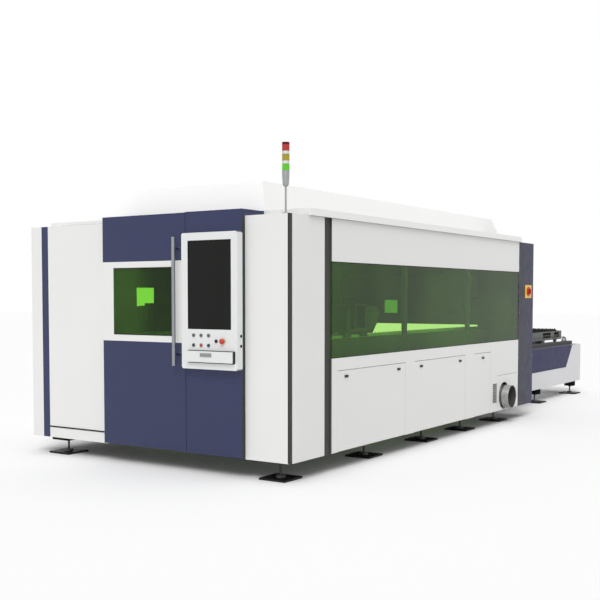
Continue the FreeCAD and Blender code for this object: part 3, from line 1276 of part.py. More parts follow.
# ---------------------------------------------------------------- exchange table
def exchange_table():
    """The table's frame, its white panels and its blue side plates."""
    pieces = []
    start, end = "encl_len + ear_thick", "table_end - frame_in"
    for side in SIDES:
        pieces.append(tube("X", start, end, *span(side, "beam_outer", "beam_inner"),
                           "lower_rail - frame_in", "upper_rail + ear_thick", "tube_wall"))
        for x in TABLE_FEET:
            pieces.append(tube("Z", x + " - tube_wid / 2", x + " + tube_wid / 2",
                               *span(side, "beam_outer - tube_wid", "beam_outer"), "table_bot",
                               "table_top - sheet", "tube_wall"))
            pieces.append(box(x + " - block_wid / 2", x + " + block_wid / 2",
                              *span(side, "table_near", "beam_outer + ear_thick"),
                              "table_bot - block_high", "table_bot"))
        pieces.append(box("encl_len + sheet", "table_end - panel_deep - close_gap",
                          *span(side, "table_near + panel_deep + close_gap", "beam_outer"),
                          "table_top - sheet", "table_top"))
        pieces.append(flange("drive_x", span(side, "beam_inner", "chain_y - sheet")))
        pieces.append(flange("idler_x", span(side, "bed_y + bed_wid", "chain_y - sheet")))
    for x in TABLE_FEET:
        pieces.append(tube("Y", x + " - tube_wid / 2", x + " + tube_wid / 2", "beam_outer",
                           far("beam_outer"), "end_tube_top - beam_wid", "end_tube_top",
                           "tube_wall"))
    node("table_frame", *pieces)
    panels = []
    for side in SIDES:
        panels.append(tray("encl_len + sheet", "table_end",
                           *span(side, "table_near", "table_near + panel_deep"), "table_bot",
                           "table_top", "+Y" if side == "near" else "-Y"))
        panels.append(slanted_plate(side, "blue_edge", "blue_edge + panel_deep", "blue_thick"))
    panels.append(tray("table_end - panel_deep", "table_end",
                       "table_near + panel_deep + close_gap",
                       far("table_near + panel_deep + close_gap"), "table_bot", "table_top", "-X"))
    node("table_panels", *panels)
    plates = [slanted_plate(side, "", "blue_edge - close_gap", "blue_thick") for side in SIDES]
    node("table_side_plates", *plates)


def slanted_plate(side, low, high, thick):
    """A thin plate on the table's side whose outer end slants."""
    slant = "(blue_end_low - blue_end_top)"
    y_low, y_high = span(side, "table_near - " + thick, "table_near")
    first = (low or "encl_len + sheet") + (" - " + slant if low else "")
    base = (first, high + " - " + slant, y_low, y_high, "blue_low")
    top = (low or "encl_len + sheet", high, y_low, y_high, "table_top")
    return frustum(base, top)


def flange(x, across):
    """A bearing plate bored for a shaft."""
    plate = box(x + " - flange_half", x + " + flange_half", *across, "sprocket_z - flange_half",
                "sprocket_z + flange_half")
    bore = rod("Y", x, across[0] + " - 1", "sprocket_z", "shaft_rad + shaft_fit",
               "(%s) - (%s) + 2" % (across[1], across[0]))
    return cut(plate, bore)


def rear_shutter():
    """The stepped plate that closes the pallet opening, with its window."""
    body = body_at("shutter_plate", "shutter_x + shutter_thick", "0", "shutter_z")
    sketch = sketch_on(body, "YZ_Plane", "shutter_outline")
    shoulder = "shutter_y + shutter_shoulder"
    outline(sketch, [(shoulder, "0"), (far(shoulder), "0"), (far(shoulder), "shutter_step"),
                     (far("shutter_y"), "shutter_step"),
                     (far("shutter_y"), "shutter_travel + bed_wall"),
                     ("shutter_y", "shutter_travel + bed_wall"), ("shutter_y", "shutter_step"),
                     (shoulder, "shutter_step")])
    plate = pad(body, sketch, "shutter_thick", "shutter_pad")
    plate.Reversed = True
    hole = box("shutter_x - 1", "shutter_x + shutter_thick + 1", "rear_pane_y",
               "rear_pane_y + rear_pane_wid", "rear_pane_z", "rear_pane_z + rear_pane_high")
    pane = box("shutter_x", "shutter_x + shutter_thick", "rear_pane_y + close_gap",
               "rear_pane_y + rear_pane_wid - close_gap", "rear_pane_z + close_gap",
               "rear_pane_z + rear_pane_high - close_gap")
    node("rear_shutter", cut(body, hole), pane)


# ---------------------------------------------------------------- the whole machine
def build():
    """Makes every sub-part once."""
    welded_frame()
    levelling_feet()
    machine_bed()
    x_rails()
    near_side_panels()
    far_side_panels()
    front_panels()
    dark_strips()
    rear_wall()
    rear_cabinets()
    roof()
    laser_windows()
    door_portal()
    door_track()
    console_housing()
    console_fittings()
    console_controls()
    keyboard_tray()
    signal_tower()
    extraction_pipe()
    scrap_pans()
    exchange_table()
    pallet_rails()
    chain_drive()
    main_switch()
    sliding_door()
    gantry()
    carriage_and_head()
    pallet("upper", "table_start", "upper_rail", "chain_high")
    pallet("lower", "bay_front", "lower_rail", "chain_low")
    rear_shutter()
    for name in DOORS:
        side_door(name)
    latches()


def check():
    """Stops if any feature failed or any sub-part has no valid shape."""
    doc.recompute()
    for thing in doc.Objects:
        if "Invalid" in thing.State or "Error" in thing.State:
            raise ValueError("%s (%s) failed" % (thing.Name, thing.Label))
    for group in NODES:
        if group.Shape.isNull() or not group.Shape.isValid():
            raise ValueError("%s has no valid shape" % group.Label)


build()
check()
os.makedirs("parts", exist_ok=True)
for group in NODES:
    group.Shape.exportStep("parts/%s.step" % group.Label)
print(len(NODES), "sub-parts written")
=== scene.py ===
"""Looks for an enclosed fiber laser cutting machine with a pallet changer.

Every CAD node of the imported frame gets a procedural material, and pieces too fine for the CAD, such
as seals, lenses, caps and screws, are drawn here as meshes that ride on its bodies.
"""

import math

import bmesh
import bpy
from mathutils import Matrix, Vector


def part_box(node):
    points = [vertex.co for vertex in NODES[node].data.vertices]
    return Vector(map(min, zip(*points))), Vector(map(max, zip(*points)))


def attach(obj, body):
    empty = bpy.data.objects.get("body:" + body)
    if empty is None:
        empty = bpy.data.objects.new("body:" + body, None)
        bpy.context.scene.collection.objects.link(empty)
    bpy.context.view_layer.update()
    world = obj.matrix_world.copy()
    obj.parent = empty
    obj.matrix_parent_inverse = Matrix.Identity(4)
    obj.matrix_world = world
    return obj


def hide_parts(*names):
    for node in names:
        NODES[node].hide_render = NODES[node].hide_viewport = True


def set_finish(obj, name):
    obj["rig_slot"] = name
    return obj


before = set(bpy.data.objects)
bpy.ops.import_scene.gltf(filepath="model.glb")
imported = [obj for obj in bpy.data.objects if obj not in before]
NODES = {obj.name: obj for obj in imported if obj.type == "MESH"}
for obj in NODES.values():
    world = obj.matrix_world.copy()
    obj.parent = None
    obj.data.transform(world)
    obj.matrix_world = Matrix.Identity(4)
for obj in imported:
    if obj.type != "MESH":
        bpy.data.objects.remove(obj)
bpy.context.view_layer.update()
MM = 0.001

# The machine's own zero, from which every size here is counted in millimetres: the outer faces of
# its front and near side panels, and the floor.
ZERO = Vector((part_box("front_panels")[0].x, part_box("near_side_panels")[0].y, 0))


def place(x, y, z):
    """A point in machine millimetres as a point of the row frame, in metres."""
    return ZERO + Vector((x, y, z)) * MM


def span_mm(node):
    """The lowest and highest corner of a CAD node in machine millimetres."""
    low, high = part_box(node)
    return (low - ZERO) / MM, (high - ZERO) / MM


# ---------------------------------------------------------------- camera, light and floor

CAMERA_AT = (-5881.3, -3969.7, 1394.7)
CAMERA_YAW = 33.731          # from +X towards +Y
CAMERA_PITCH = 2.928         # down
FOCAL_PIXELS = 967.469
IMAGE_SIDE = 600
MIDDLE_PIXEL = (295.156, 345.441)
SENSOR = 36

AMBIENT = 0.43               # of the white room, on the object
OVERHEAD = (0.20, 80, (0.10, 0.06, 1.0))      # level, softness in degrees, where it comes from
KEY = (0.51, 30, (-0.64, -0.31, 0.70))
FLOOR_WHITE = 0.96
FLOOR_LIFT = 0.03            # shows only to the camera and in reflections
FLOOR_HALF = 60              # metres
FLOOR_BELOW = 0.0005         # metres, so that the feet's soles stay clear of it
SIGHT_END = 500              # metres
SHOWN_RAYS = ("Is Camera Ray", "Is Glossy Ray", "Is Transmission Ray")


def make_camera():
    """The camera that the photograph's straight edges were solved to."""
    data = bpy.data.cameras.new("camera")
    data.sensor_width = SENSOR
    data.lens = SENSOR * FOCAL_PIXELS / IMAGE_SIDE
    data.shift_x = (IMAGE_SIDE / 2 - MIDDLE_PIXEL[0]) / IMAGE_SIDE
    data.shift_y = (MIDDLE_PIXEL[1] - IMAGE_SIDE / 2) / IMAGE_SIDE
    data.clip_end = SIGHT_END
    camera = bpy.data.objects.new("camera", data)
    camera.location = place(*CAMERA_AT)
    camera.rotation_euler = [math.radians(a) for a in (90 - CAMERA_PITCH, 0, CAMERA_YAW - 90)]
    bpy.context.scene.collection.objects.link(camera)
    bpy.context.scene.camera = camera


def shown_to_eye(tree):
    """1 for rays from the camera and for those that a mirror or glass sends on, else 0."""
    path = tree.nodes.new("ShaderNodeLightPath")
    total = path.outputs[SHOWN_RAYS[0]]
    for name in SHOWN_RAYS[1:]:
        add = tree.nodes.new("ShaderNodeMath")
        add.operation = "MAXIMUM"
        tree.links.new(total, add.inputs[0])
        tree.links.new(path.outputs[name], add.inputs[1])
        total = add.outputs[0]
    return total


def make_world():
    """A white room that looks full white and lights the object at a plain level."""
    world = bpy.data.worlds.new("white_room")
    world.use_nodes = True
    bpy.context.scene.world = world
    tree = world.node_tree
    background = tree.nodes["Background"]
    background.inputs["Color"].default_value = (1, 1, 1, 1)
    level = tree.nodes.new("ShaderNodeMapRange")
    level.inputs["To Min"].default_value = AMBIENT
    level.inputs["To Max"].default_value = 1.0
    tree.links.new(shown_to_eye(tree), level.inputs["Value"])
    tree.links.new(level.outputs["Result"], background.inputs["Strength"])


def make_lamp(name, level, softness, source):
    """A broad soft lamp that shines from the direction of the source."""
    data = bpy.data.lights.new(name, "SUN")
    data.energy = level * math.pi
    data.angle = math.radians(softness)
    lamp = bpy.data.objects.new(name, data)
    lamp.rotation_euler = Vector(source).to_track_quat("Z", "Y").to_euler()
    bpy.context.scene.collection.objects.link(lamp)


def make_floor():
    """A matt white floor, lifted a little towards white, that takes the shadows."""
    mesh = bpy.data.meshes.new("floor")
    half = FLOOR_HALF
    corners = [(-half, -half, 0), (half, -half, 0), (half, half, 0), (-half, half, 0)]
    mesh.from_pydata(corners, [], [(0, 1, 2, 3)])
    floor = bpy.data.objects.new("floor", mesh)
    floor.location.z = -FLOOR_BELOW
    bpy.context.scene.collection.objects.link(floor)
    material = bpy.data.materials.new("floor_white")
    material.use_nodes = True
    tree = material.node_tree
    tree.nodes.clear()
    diffuse = tree.nodes.new("ShaderNodeBsdfDiffuse")
    diffuse.inputs["Color"].default_value = (FLOOR_WHITE, FLOOR_WHITE, FLOOR_WHITE, 1)
    lift = tree.nodes.new("ShaderNodeEmission")
    strength = tree.nodes.new("ShaderNodeMath")
    strength.operation = "MULTIPLY"
    strength.inputs[1].default_value = FLOOR_LIFT
    tree.links.new(shown_to_eye(tree), strength.inputs[0])
    tree.links.new(strength.outputs[0], lift.inputs["Strength"])
    both = tree.nodes.new("ShaderNodeAddShader")
    tree.links.new(diffuse.outputs[0], both.inputs[0])
    tree.links.new(lift.outputs[0], both.inputs[1])
    output = tree.nodes.new("ShaderNodeOutputMaterial")
    tree.links.new(both.outputs[0], output.inputs["Surface"])
    mesh.materials.append(material)


# ---------------------------------------------------------------- materials

MIX_FIRST, MIX_SECOND, MIX_RESULT = 6, 7, 2      # the colour sockets of a Mix node

# Noise scales, per metre, and depths of relief, in metres.
DRIFT_SCALE = 0.9
GLOSS_SCALE = 9.0
PEEL_SCALE, PEEL_DEPTH = 520.0, 0.0004
LINE_SCALE, LINE_STRETCH, LINE_DEPTH = 260.0, 3.0, 0.0003
CLOUD_SCALE = 14.0
GRAIN_SCALE, GRAIN_DEPTH = 900.0, 0.0003
PATCH_SCALE = 22.0
GRIT_SCALE, GRIT_DEPTH = 160.0, 0.0006


def srgb(red, green, blue):
    """A screen colour, 0 to 255, as the linear colour that a shader takes."""
    def line(value):
        value /= 255
        return value / 12.92 if value <= 0.04045 else ((value + 0.055) / 1.055) ** 2.4
    return (line(red), line(green), line(blue), 1)


def shade(colour, factor):
    """A colour made lighter or darker by a factor."""
    return tuple(min(1, channel * factor) for channel in colour[:3]) + (1,)


class Look:
    """One procedural material round a Principled shader, patterned in object coordinates."""

    def __init__(self, name, roughness=0.4, metal=0.0, specular=0.5):
        self.material = bpy.data.materials.new(name)
        self.material.use_nodes = True
        self.tree = self.material.node_tree
        self.shader = self.tree.nodes["Principled BSDF"]
        self.shader.inputs["Roughness"].default_value = roughness
        self.shader.inputs["Metallic"].default_value = metal
        self.shader.inputs["Specular IOR Level"].default_value = specular
        coordinates = self.node("ShaderNodeTexCoord")
        self.where = coordinates.outputs["Object"]
        self.outward = coordinates.outputs["Normal"]
        self.normal = None

    def node(self, kind, settings=None, **inputs):
        """A new node; in the names of its inputs an underscore stands for a space."""
        made = self.tree.nodes.new(kind)
        for name, value in (settings or {}).items():
            setattr(made, name, value)
        for name, value in inputs.items():
            self.feed(made.inputs[name.replace("_", " ")], value)
        return made

    def feed(self, socket, value):
        """Links a socket to another, or sets it."""
        if isinstance(value, bpy.types.NodeSocket):
            self.tree.links.new(value, socket)
        else:
            socket.default_value = value

    def math(self, operation, first, second=0.0, third=0.0):
        """The result of a Math node."""
        made = self.node("ShaderNodeMath", {"operation": operation})
        for socket, value in zip(made.inputs, (first, second, third)):
            self.feed(socket, value)
        return made.outputs[0]

    def along(self, letter):
        """The machine coordinate in millimetres."""
        part = self.node("ShaderNodeSeparateXYZ", Vector=self.where).outputs[letter]
        zero = ZERO["XYZ".index(letter)]
        return self.math("MULTIPLY_ADD", part, 1 / MM, -zero / MM)

    def between(self, letter, low, high):
        """1 where the machine coordinate lies between two values, else 0."""
        return self.math("COMPARE", self.along(letter), (low + high) / 2, (high - low) / 2)

    def facing(self, letter, sign):
        """1 where the surface faces along an axis, else 0."""
        part = self.node("ShaderNodeSeparateXYZ", Vector=self.outward).outputs[letter]
        return self.math("GREATER_THAN", self.math("MULTIPLY", part, sign), 0.5)

    def both(self, *masks):
        """1 where all masks are 1."""
        total = masks[0]
        for mask in masks[1:]:
            total = self.math("MULTIPLY", total, mask)
        return total

    def either(self, *masks):
        """1 where any mask is 1."""
        total = masks[0]
        for mask in masks[1:]:
            total = self.math("MAXIMUM", total, mask)
        return total

    def stretched(self, x, y, z):
        """Coordinates multiplied by these, so that a pattern runs along the axis with the least."""
        return self.node("ShaderNodeMapping", Vector=self.where, Scale=(x, y, z)).outputs[0]

    def noise(self, scale, detail=3.0, rough=0.55, where=None):
        """Noise from 0 to 1, with a scale per metre unless other coordinates are given."""
        made = self.node("ShaderNodeTexNoise", Vector=where or self.where, Scale=scale,
                         Detail=detail, Roughness=rough)
        return made.outputs["Fac"]

    def ramp(self, value, low, high, out_low=0.0, out_high=1.0):
        """Maps low to high onto out_low to out_high, held level beyond both."""
        made = self.node("ShaderNodeMapRange", Value=value, From_Min=low, From_Max=high,
                         To_Min=out_low, To_Max=out_high)
        return made.outputs["Result"]

    def mix(self, factor, first, second):
        """Two colours mixed, the second by the factor."""
        made = self.node("ShaderNodeMix", {"data_type": "RGBA"})
        self.feed(made.inputs["Factor"], factor)
        self.feed(made.inputs[MIX_FIRST], first)
        self.feed(made.inputs[MIX_SECOND], second)
        return made.outputs[MIX_RESULT]

    def colour(self, value):
        """Sets the base colour."""
        self.feed(self.shader.inputs["Base Color"], value)

    def over(self, mask, colour):
        """Lays another colour over the present one where the mask is 1."""
        under = self.shader.inputs["Base Color"].links[0].from_socket
        self.colour(self.mix(mask, under, colour))

    def rough(self, value):
        """Sets the roughness."""
        self.feed(self.shader.inputs["Roughness"], value)

    def bump(self, height, strength, distance):
        """Adds a height pattern to the surface, distance in metres."""
        made = self.node("ShaderNodeBump", Height=height, Strength=strength, Distance=distance)
        if self.normal is not None:
            self.tree.links.new(self.normal, made.inputs["Normal"])
        self.normal = made.outputs["Normal"]
        self.feed(self.shader.inputs["Normal"], self.normal)

    def blend(self, amount, first, second):
        """Two shaders mixed, the second by the amount."""
        made = self.node("ShaderNodeMixShader")
        self.feed(made.inputs[0], amount)
        self.feed(made.inputs[1], first.outputs[0])
        self.feed(made.inputs[2], second.outputs[0])
        return made

    def surface(self, shader):
        """Makes a shader the material's surface."""
        self.feed(self.tree.nodes["Material Output"].inputs["Surface"], shader.outputs[0])


def paint(name, colour, roughness=0.38, peel=0.05, drift=0.02, specular=0.5):
    """Powder-coated sheet steel: a faint drift of tone, uneven gloss and a fine orange peel."""
    look = Look(name, roughness, specular=specular)
    tone = look.noise(DRIFT_SCALE, 2.0)
    gloss = look.noise(GLOSS_SCALE, 4.0)
    look.colour(look.mix(tone, shade(colour, 1 - drift), shade(colour, 1 + drift)))
    look.rough(look.ramp(gloss, 0.3, 0.7, roughness - 0.05, roughness + 0.06))
    look.bump(look.noise(PEEL_SCALE, 2.0), peel, PEEL_DEPTH)
    return look


def steel(name, colour, roughness=0.32, along="X", streak=0.10, strength=0.10):
    """Ground, drawn or extruded metal with fine lines along one axis."""
    look = Look(name, roughness, metal=1.0)
    scale = [LINE_SCALE] * 3
    scale["XYZ".index(along)] = LINE_STRETCH
    lines = look.noise(1.0, 5.0, 0.6, look.stretched(*scale))
    look.colour(look.mix(lines, shade(colour, 1 - streak), shade(colour, 1 + streak)))
    look.rough(look.ramp(lines, 0.3, 0.7, roughness - 0.06, roughness + 0.10))
    look.bump(lines, strength, LINE_DEPTH)
    return look


def moulded(name, colour, roughness=0.45, grain=0.06, specular=0.5):
    """Moulded plastic or rubber with a fine eroded grain."""
    look = Look(name, roughness, specular=specular)
    clouds = look.noise(CLOUD_SCALE)
    grains = look.noise(GRAIN_SCALE, 2.0, 0.7)
    look.colour(look.mix(clouds, shade(colour, 0.95), shade(colour, 1.05)))
    look.rough(look.ramp(grains, 0.3, 0.7, roughness - 0.05, roughness + 0.05))
    look.bump(grains, grain, GRAIN_DEPTH)
    return look


def raw_steel(name, colour, scale_colour, roughness=0.55, metal=0.85):
    """Hot-rolled or scorched steel: mill scale in patches, and a gritty face."""
    look = Look(name, roughness, metal=metal)
    patches = look.ramp(look.noise(PATCH_SCALE, 6.0, 0.65), 0.40, 0.62)
    look.colour(look.mix(patches, colour, scale_colour))
    look.rough(look.ramp(patches, 0.0, 1.0, roughness - 0.08, roughness + 0.15))
    look.bump(look.noise(GRIT_SCALE, 4.0, 0.65), 0.25, GRIT_DEPTH)
    return look


GLASS_TINT = (0.44, 0.83, 0.20)      # linear, of white light through one whole pane
GLASS_IOR = 1.30
GLASS_BODY = (0.42, 1.0, 0.14, 1)    # colour of the little light that its own body scatters
GLASS_HAZE = (0.024, 0.046)          # least and most share of that light
LAMP_SHARE = 0.6                     # of each face's tint, for light that falls through it
FRONT_PANE_X = (-60, 0)
CLEANER_Y = (1500, 1300)             # across here the front pane's haze thins out
CLEANER_BY = 0.65
GLASS_CLOUDS, GLASS_WAVES, HAZE_CLOUDS = 2.5, 3.0, 1.3       # noise scales per metre


def laser_glass(name):
    """Green laser-safety acrylic: it lets sight and lamp light straight through, tinted, and
    mirrors the room the more, the flatter one looks along it."""
    look = Look(name)
    look.tree.nodes.remove(look.shader)
    face_tint = [math.sqrt(channel) for channel in GLASS_TINT]
    clouds = look.noise(GLASS_CLOUDS)
    tint = look.mix(clouds, shade(face_tint, 0.99), shade(face_tint, 1.01))
    weak = look.mix(shown_to_eye(look.tree), shade(face_tint, LAMP_SHARE), tint)
    clear = look.node("ShaderNodeBsdfTransparent", Color=weak)
    waves = look.node("ShaderNodeBump", Height=look.noise(GLASS_WAVES, 2.0), Strength=0.02,
                      Distance=0.001)
    mirror = look.node("ShaderNodeBsdfGlossy", Roughness=0.03, Normal=waves.outputs[0])
    fresnel = look.node("ShaderNodeFresnel", IOR=GLASS_IOR).outputs[0]
    inside = look.node("ShaderNodeNewGeometry").outputs["Backfacing"]
    share = look.math("MULTIPLY", fresnel, look.math("SUBTRACT", 1.0, inside))
    body = look.node("ShaderNodeBsdfDiffuse", Color=GLASS_BODY)
    haze = look.ramp(look.noise(HAZE_CLOUDS, 2.0), 0.35, 0.65, *GLASS_HAZE)
    cleaner = look.both(look.between("X", *FRONT_PANE_X), look.ramp(look.along("Y"), *CLEANER_Y))
    haze = look.math("MULTIPLY", haze, look.math("MULTIPLY_ADD", cleaner, -CLEANER_BY, 1.0))
    look.surface(look.blend(share, look.blend(haze, clear, body), mirror))
    return look


WHITE = srgb(231, 231, 229)
# The roof's white, paler than the panels' as painted light, for the light from above.
HOOD_PAINTED_LIGHT = srgb(252, 252, 251)
TABLE_WHITE = srgb(226, 226, 229)
CONSOLE_WHITE = srgb(226, 228, 227)
BLUE = srgb(47, 53, 87)
GREY_BLUE = srgb(38, 41, 60)         # of the rear cabinets
PAINTED_SHADE_INSIDE = srgb(96, 98, 95)        # painted shade: white paint made dark where no daylight comes
# painted shade, darker still, on the far panels' inside along the cutting bed
FAR_WALL_PAINTED_SHADE = srgb(40, 34, 34)
# dark rubber of the gaskets, and painted shade on the tray's near end and on the dark strips round
# the tray and down the front corner
GASKET_AND_PAINTED_SHADE = srgb(34, 35, 36)

BAND_Z = (1025.0, 1674.0)            # the door's white band
ENCLOSURE_FAR = span_mm("far_side_panels")[1].y
CORNER_END = 500                     # the near side's gaps all lie behind this
SIDE_START = 581.5                   # the near side's window, behind the corner cover
SIDE_END = span_mm("near_side_panels")[1].x
FOLDED = (12.0, 29.0)                # depths in a panel's folded edge that are out of daylight, given painted shade
PANEL_TOP = 1990                     # above this the front's covers are white again, without painted shade
POSTS_X = ((1880, 1920), (3270, 3310))       # the long window's two posts
LOUVRE = ((3860, 3996), (1.9, 7), (230, 462))        # round its backing plate
PAINTED_SHADE_STARTS = (1330, 1480)           # the far panels' darker painted shade grows from none to full here
SHUTTER_PANE = ((1530.4, 1709.6), (1190.4, 1344.6))  # across Y, and Z
WALKWAY_X = (5000, 7700)             # the exchange table's grey edges
OUTLET = (4205, 0, 296)              # the fume outlet's middle
OUTLET_RADII = (122.6, 125.25)       # of its bore, and of its wall's outside


def side_paint():
    """The near side's white panels, with painted shade inside, in their folded edges and in their
    gaps, and a grey louvre plate.
    """
    look = paint("side_paint", WHITE)
    # Painted shade on the inner faces, the folded edges and the faces in the gaps.
    gaps = look.both(look.facing("X", -1), look.between("X", CORNER_END, SIDE_END))
    look.over(look.either(look.facing("Y", 1), look.between("Y", *FOLDED), gaps), PAINTED_SHADE_INSIDE)
    plate = look.both(look.between("X", *LOUVRE[0]), look.between("Z", *LOUVRE[2]),
                      look.between("Y", *LOUVRE[1]))
    look.over(plate, srgb(150, 150, 148))
    return look


def far_paint():
    """The far side's white panels, with painted shade inside, darker still along the cutting bed."""
    look = paint("far_paint", WHITE)
    depth = look.between("Y", ENCLOSURE_FAR - FOLDED[1], ENCLOSURE_FAR - FOLDED[0])
    inner = look.either(look.facing("Y", -1), depth)
    look.over(inner, PAINTED_SHADE_INSIDE)
    # A darker painted shade on the inside from here on along X.
    shaded_reach = look.ramp(look.along("X"), *PAINTED_SHADE_STARTS)
    look.over(look.both(inner, shaded_reach), FAR_WALL_PAINTED_SHADE)
    return look


def front_paint():
    """The front's white panels, with painted shade inside, and white covers on top."""
    look = paint("front_paint", WHITE)
    # Painted shade on the inner faces and folded edges, below the covers.
    inner = look.either(look.facing("X", 1), look.between("X", *FOLDED))
    look.over(look.both(inner, look.between("Z", 0, PANEL_TOP)), PAINTED_SHADE_INSIDE)
    return look


def roof_paint(name, colour=HOOD_PAINTED_LIGHT):
    """The roof's white sheets, painted paler than the panels' white as painted light from above, with
    painted shade underneath.
    """
    look = paint(name, colour)
    # Painted shade on the undersides.
    look.over(look.facing("Z", -1), PAINTED_SHADE_INSIDE)
    return look


def wall_paint():
    """The rear wall, white outside and with painted shade inside."""
    look = paint("wall_paint", WHITE)
    # Painted shade on the wall's inside.
    look.over(look.between("X", 0, SIDE_END - 1), srgb(64, 66, 64))
    return look


def portal_paint():
    """The column's and portal's blue paint; the column's near end face is dark grey, and the portal's
    inside has painted shade.
    """
    look = paint("portal_paint", BLUE, 0.40, specular=0.35)
    low = span_mm("door_portal")[0]
    column_top, edging_end, inner_x = 2000, 5, (30, 300)
    # The column's near end face, below its top, is painted dark grey.
    edging = look.both(look.facing("Y", -1), look.between("Y", low.y - 1, low.y + 1),
                     look.between("Z", 0, column_top), look.between("X", low.x - 1, edging_end))
    look.over(edging, srgb(42, 47, 52))
    # Painted shade inside the portal, below the covers.
    look.over(look.both(look.between("X", *inner_x), look.between("Z", 0, PANEL_TOP)), PAINTED_SHADE_INSIDE)
    return look


def door_paint():
    """The door's blue paint with its white band, which is as high as its window surround, and painted
    shade on its back face.
    """
    look = paint("door_paint", BLUE, 0.40, specular=0.35)
    look.over(look.between("Z", *BAND_Z), WHITE)
    back_x = (-20, 0)
    # Painted shade on the door's back face.
    look.over(look.either(look.facing("X", 1), look.between("X", *back_x)), PAINTED_SHADE_INSIDE)
    return look


def strip_paint():
    """The recessed strips are painted dark as the shade in their recesses, but for the one at the far
    corner, which is white.
    """
    # Dark grey as painted shade in the recesses.
    look = paint("strip_paint", srgb(55, 56, 53), 0.5, 0.08, specular=0.3)
    width = 40
    corner = look.both(look.between("Y", ENCLOSURE_FAR - width, ENCLOSURE_FAR + 1),
                       look.between("X", -1, width))
    look.over(corner, WHITE)
    return look


def frame_coat():
    """The frame's grey paint. The window posts' front faces are painted pale as painted light, and
    their faces to the glass black as painted shade.
    """
    look = paint("frame_coat", srgb(44, 46, 47), 0.5, 0.10)
    posts = look.either(*[look.between("X", *reach) for reach in POSTS_X])
    # Painted light on the posts' front faces, which get little light inside.
    look.over(look.both(posts, look.facing("X", -1)), srgb(112, 114, 110))
    # Painted shade on the posts' faces towards the glass.
    look.over(look.both(posts, look.facing("Y", -1)), srgb(8, 8, 8))
    return look


def table_white():
    """The table's white panels, with a grey walkway along the top of their near and far sides."""
    look = paint("table_white", TABLE_WHITE, specular=0.0)
    top = look.both(look.facing("Z", 1), look.between("X", *WALKWAY_X))
    look.over(top, srgb(98, 98, 112))
    return look


def handle_metal():
    """The door's long handle in brushed alloy, on feet in the door's blue."""
    look = steel("handle_metal", srgb(150, 153, 158), 0.40, "Z")
    feet_x = (-94, -39)
    feet = look.between("X", *feet_x)
    look.over(feet, srgb(52, 58, 92))
    look.feed(look.shader.inputs["Metallic"], look.math("SUBTRACT", 1.0, feet))
    return look


def shutter_paint():
    """The shutter's grey paint, with a smoked pane that looks out by the rear wall's window."""
    look = paint("shutter_paint", srgb(120, 122, 124), 0.45)
    pane = look.both(look.between("Y", *SHUTTER_PANE[0]), look.between("Z", *SHUTTER_PANE[1]))
    clear = look.node("ShaderNodeBsdfTransparent", Color=(0.55, 0.62, 0.55, 1))
    look.surface(look.blend(pane, look.shader, clear))
    return look


def tray_paint():
    """The keyboard tray: white, with a grey grip and its near end painted dark as shade."""
    look = paint("tray_paint", CONSOLE_WHITE, 0.34)
    low, high = span_mm("keyboard_tray")
    look.over(look.between("X", low.x - 1, low.x + 4.9), srgb(140, 140, 140))
    # Painted shade on the tray's near end face.
    look.over(look.both(look.facing("Y", -1), look.between("Y", low.y - 1, low.y + 1),
                        look.between("X", low.x + 10, high.x)), GASKET_AND_PAINTED_SHADE)
    return look


def bezel_metal():
    """Bright rings round the console's controls, and black sockets on its near side."""
    look = steel("bezel_metal", srgb(150, 152, 154), 0.34)
    low, sockets_z = span_mm("console_housing")[0], (900, 1200)
    look.over(look.both(look.between("Y", low.y - 40, low.y + 6), look.between("Z", *sockets_z)),
              srgb(14, 14, 15))
    return look


def cabinet_paint():
    """The rear cabinets' grey-blue paint, which is a little bluer to the rear."""
    look = paint("cabinet_paint", GREY_BLUE, 0.42, specular=0.25)
    depth = 460
    rearward = look.ramp(look.along("X"), SIDE_END, SIDE_END + depth)
    look.colour(look.mix(rearward, srgb(37, 39, 52), srgb(40, 43, 72)))
    return look


def track_paint():
    """The door's rail is ground steel, and its lower guide strip is dark."""
    look = steel("track_steel", srgb(190, 190, 192), 0.25, "Y")
    guide_top = 300
    look.over(look.between("Z", 0, guide_top), srgb(52, 54, 55))
    return look


def pipe_metal():
    """The zinc-plated outlet: spangled outside, with painted shade in its bore, behind its collar and
    along its length inside the machine.
    """
    shine = 0.75
    look = Look("pipe_metal", 0.42, metal=shine)
    spangle = look.node("ShaderNodeTexVoronoi", Vector=look.where, Scale=60.0).outputs["Color"]
    tone = look.node("ShaderNodeSeparateXYZ", Vector=spangle).outputs["X"]
    look.colour(look.mix(tone, srgb(164, 164, 163), srgb(184, 184, 182)))
    look.rough(look.ramp(tone, 0.0, 1.0, 0.36, 0.5))
    middle = place(*OUTLET)
    centre = look.node("ShaderNodeCombineXYZ", X=middle.x, Z=middle.z)
    flat = look.node("ShaderNodeVectorMath", {"operation": "MULTIPLY"})
    look.feed(flat.inputs[0], look.where)
    look.feed(flat.inputs[1], (1, 0, 1))
    gap = look.node("ShaderNodeVectorMath", {"operation": "DISTANCE"})
    look.feed(gap.inputs[0], flat.outputs[0])
    look.feed(gap.inputs[1], centre.outputs[0])
    bore = look.math("LESS_THAN", gap.outputs["Value"], OUTLET_RADII[0] * MM)
    # Painted shade in the bore, which is made matt.
    look.over(bore, srgb(80, 78, 76))
    # Painted shade, black and matt, past the wall's outside radius, where the gap behind the collar
    # is.
    collar = look.math("GREATER_THAN", gap.outputs["Value"], OUTLET_RADII[1] * MM)
    look.over(collar, srgb(20, 20, 20))
    dull = look.math("MAXIMUM", bore, collar)
    look.feed(look.shader.inputs["Metallic"], look.math("MULTIPLY_ADD", dull, -shine, shine))
    # Painted shade on the pipe's length inside the machine.
    look.over(look.between("Y", 20, span_mm("extraction_pipe")[1].y + 1), srgb(52, 51, 50))
    return look


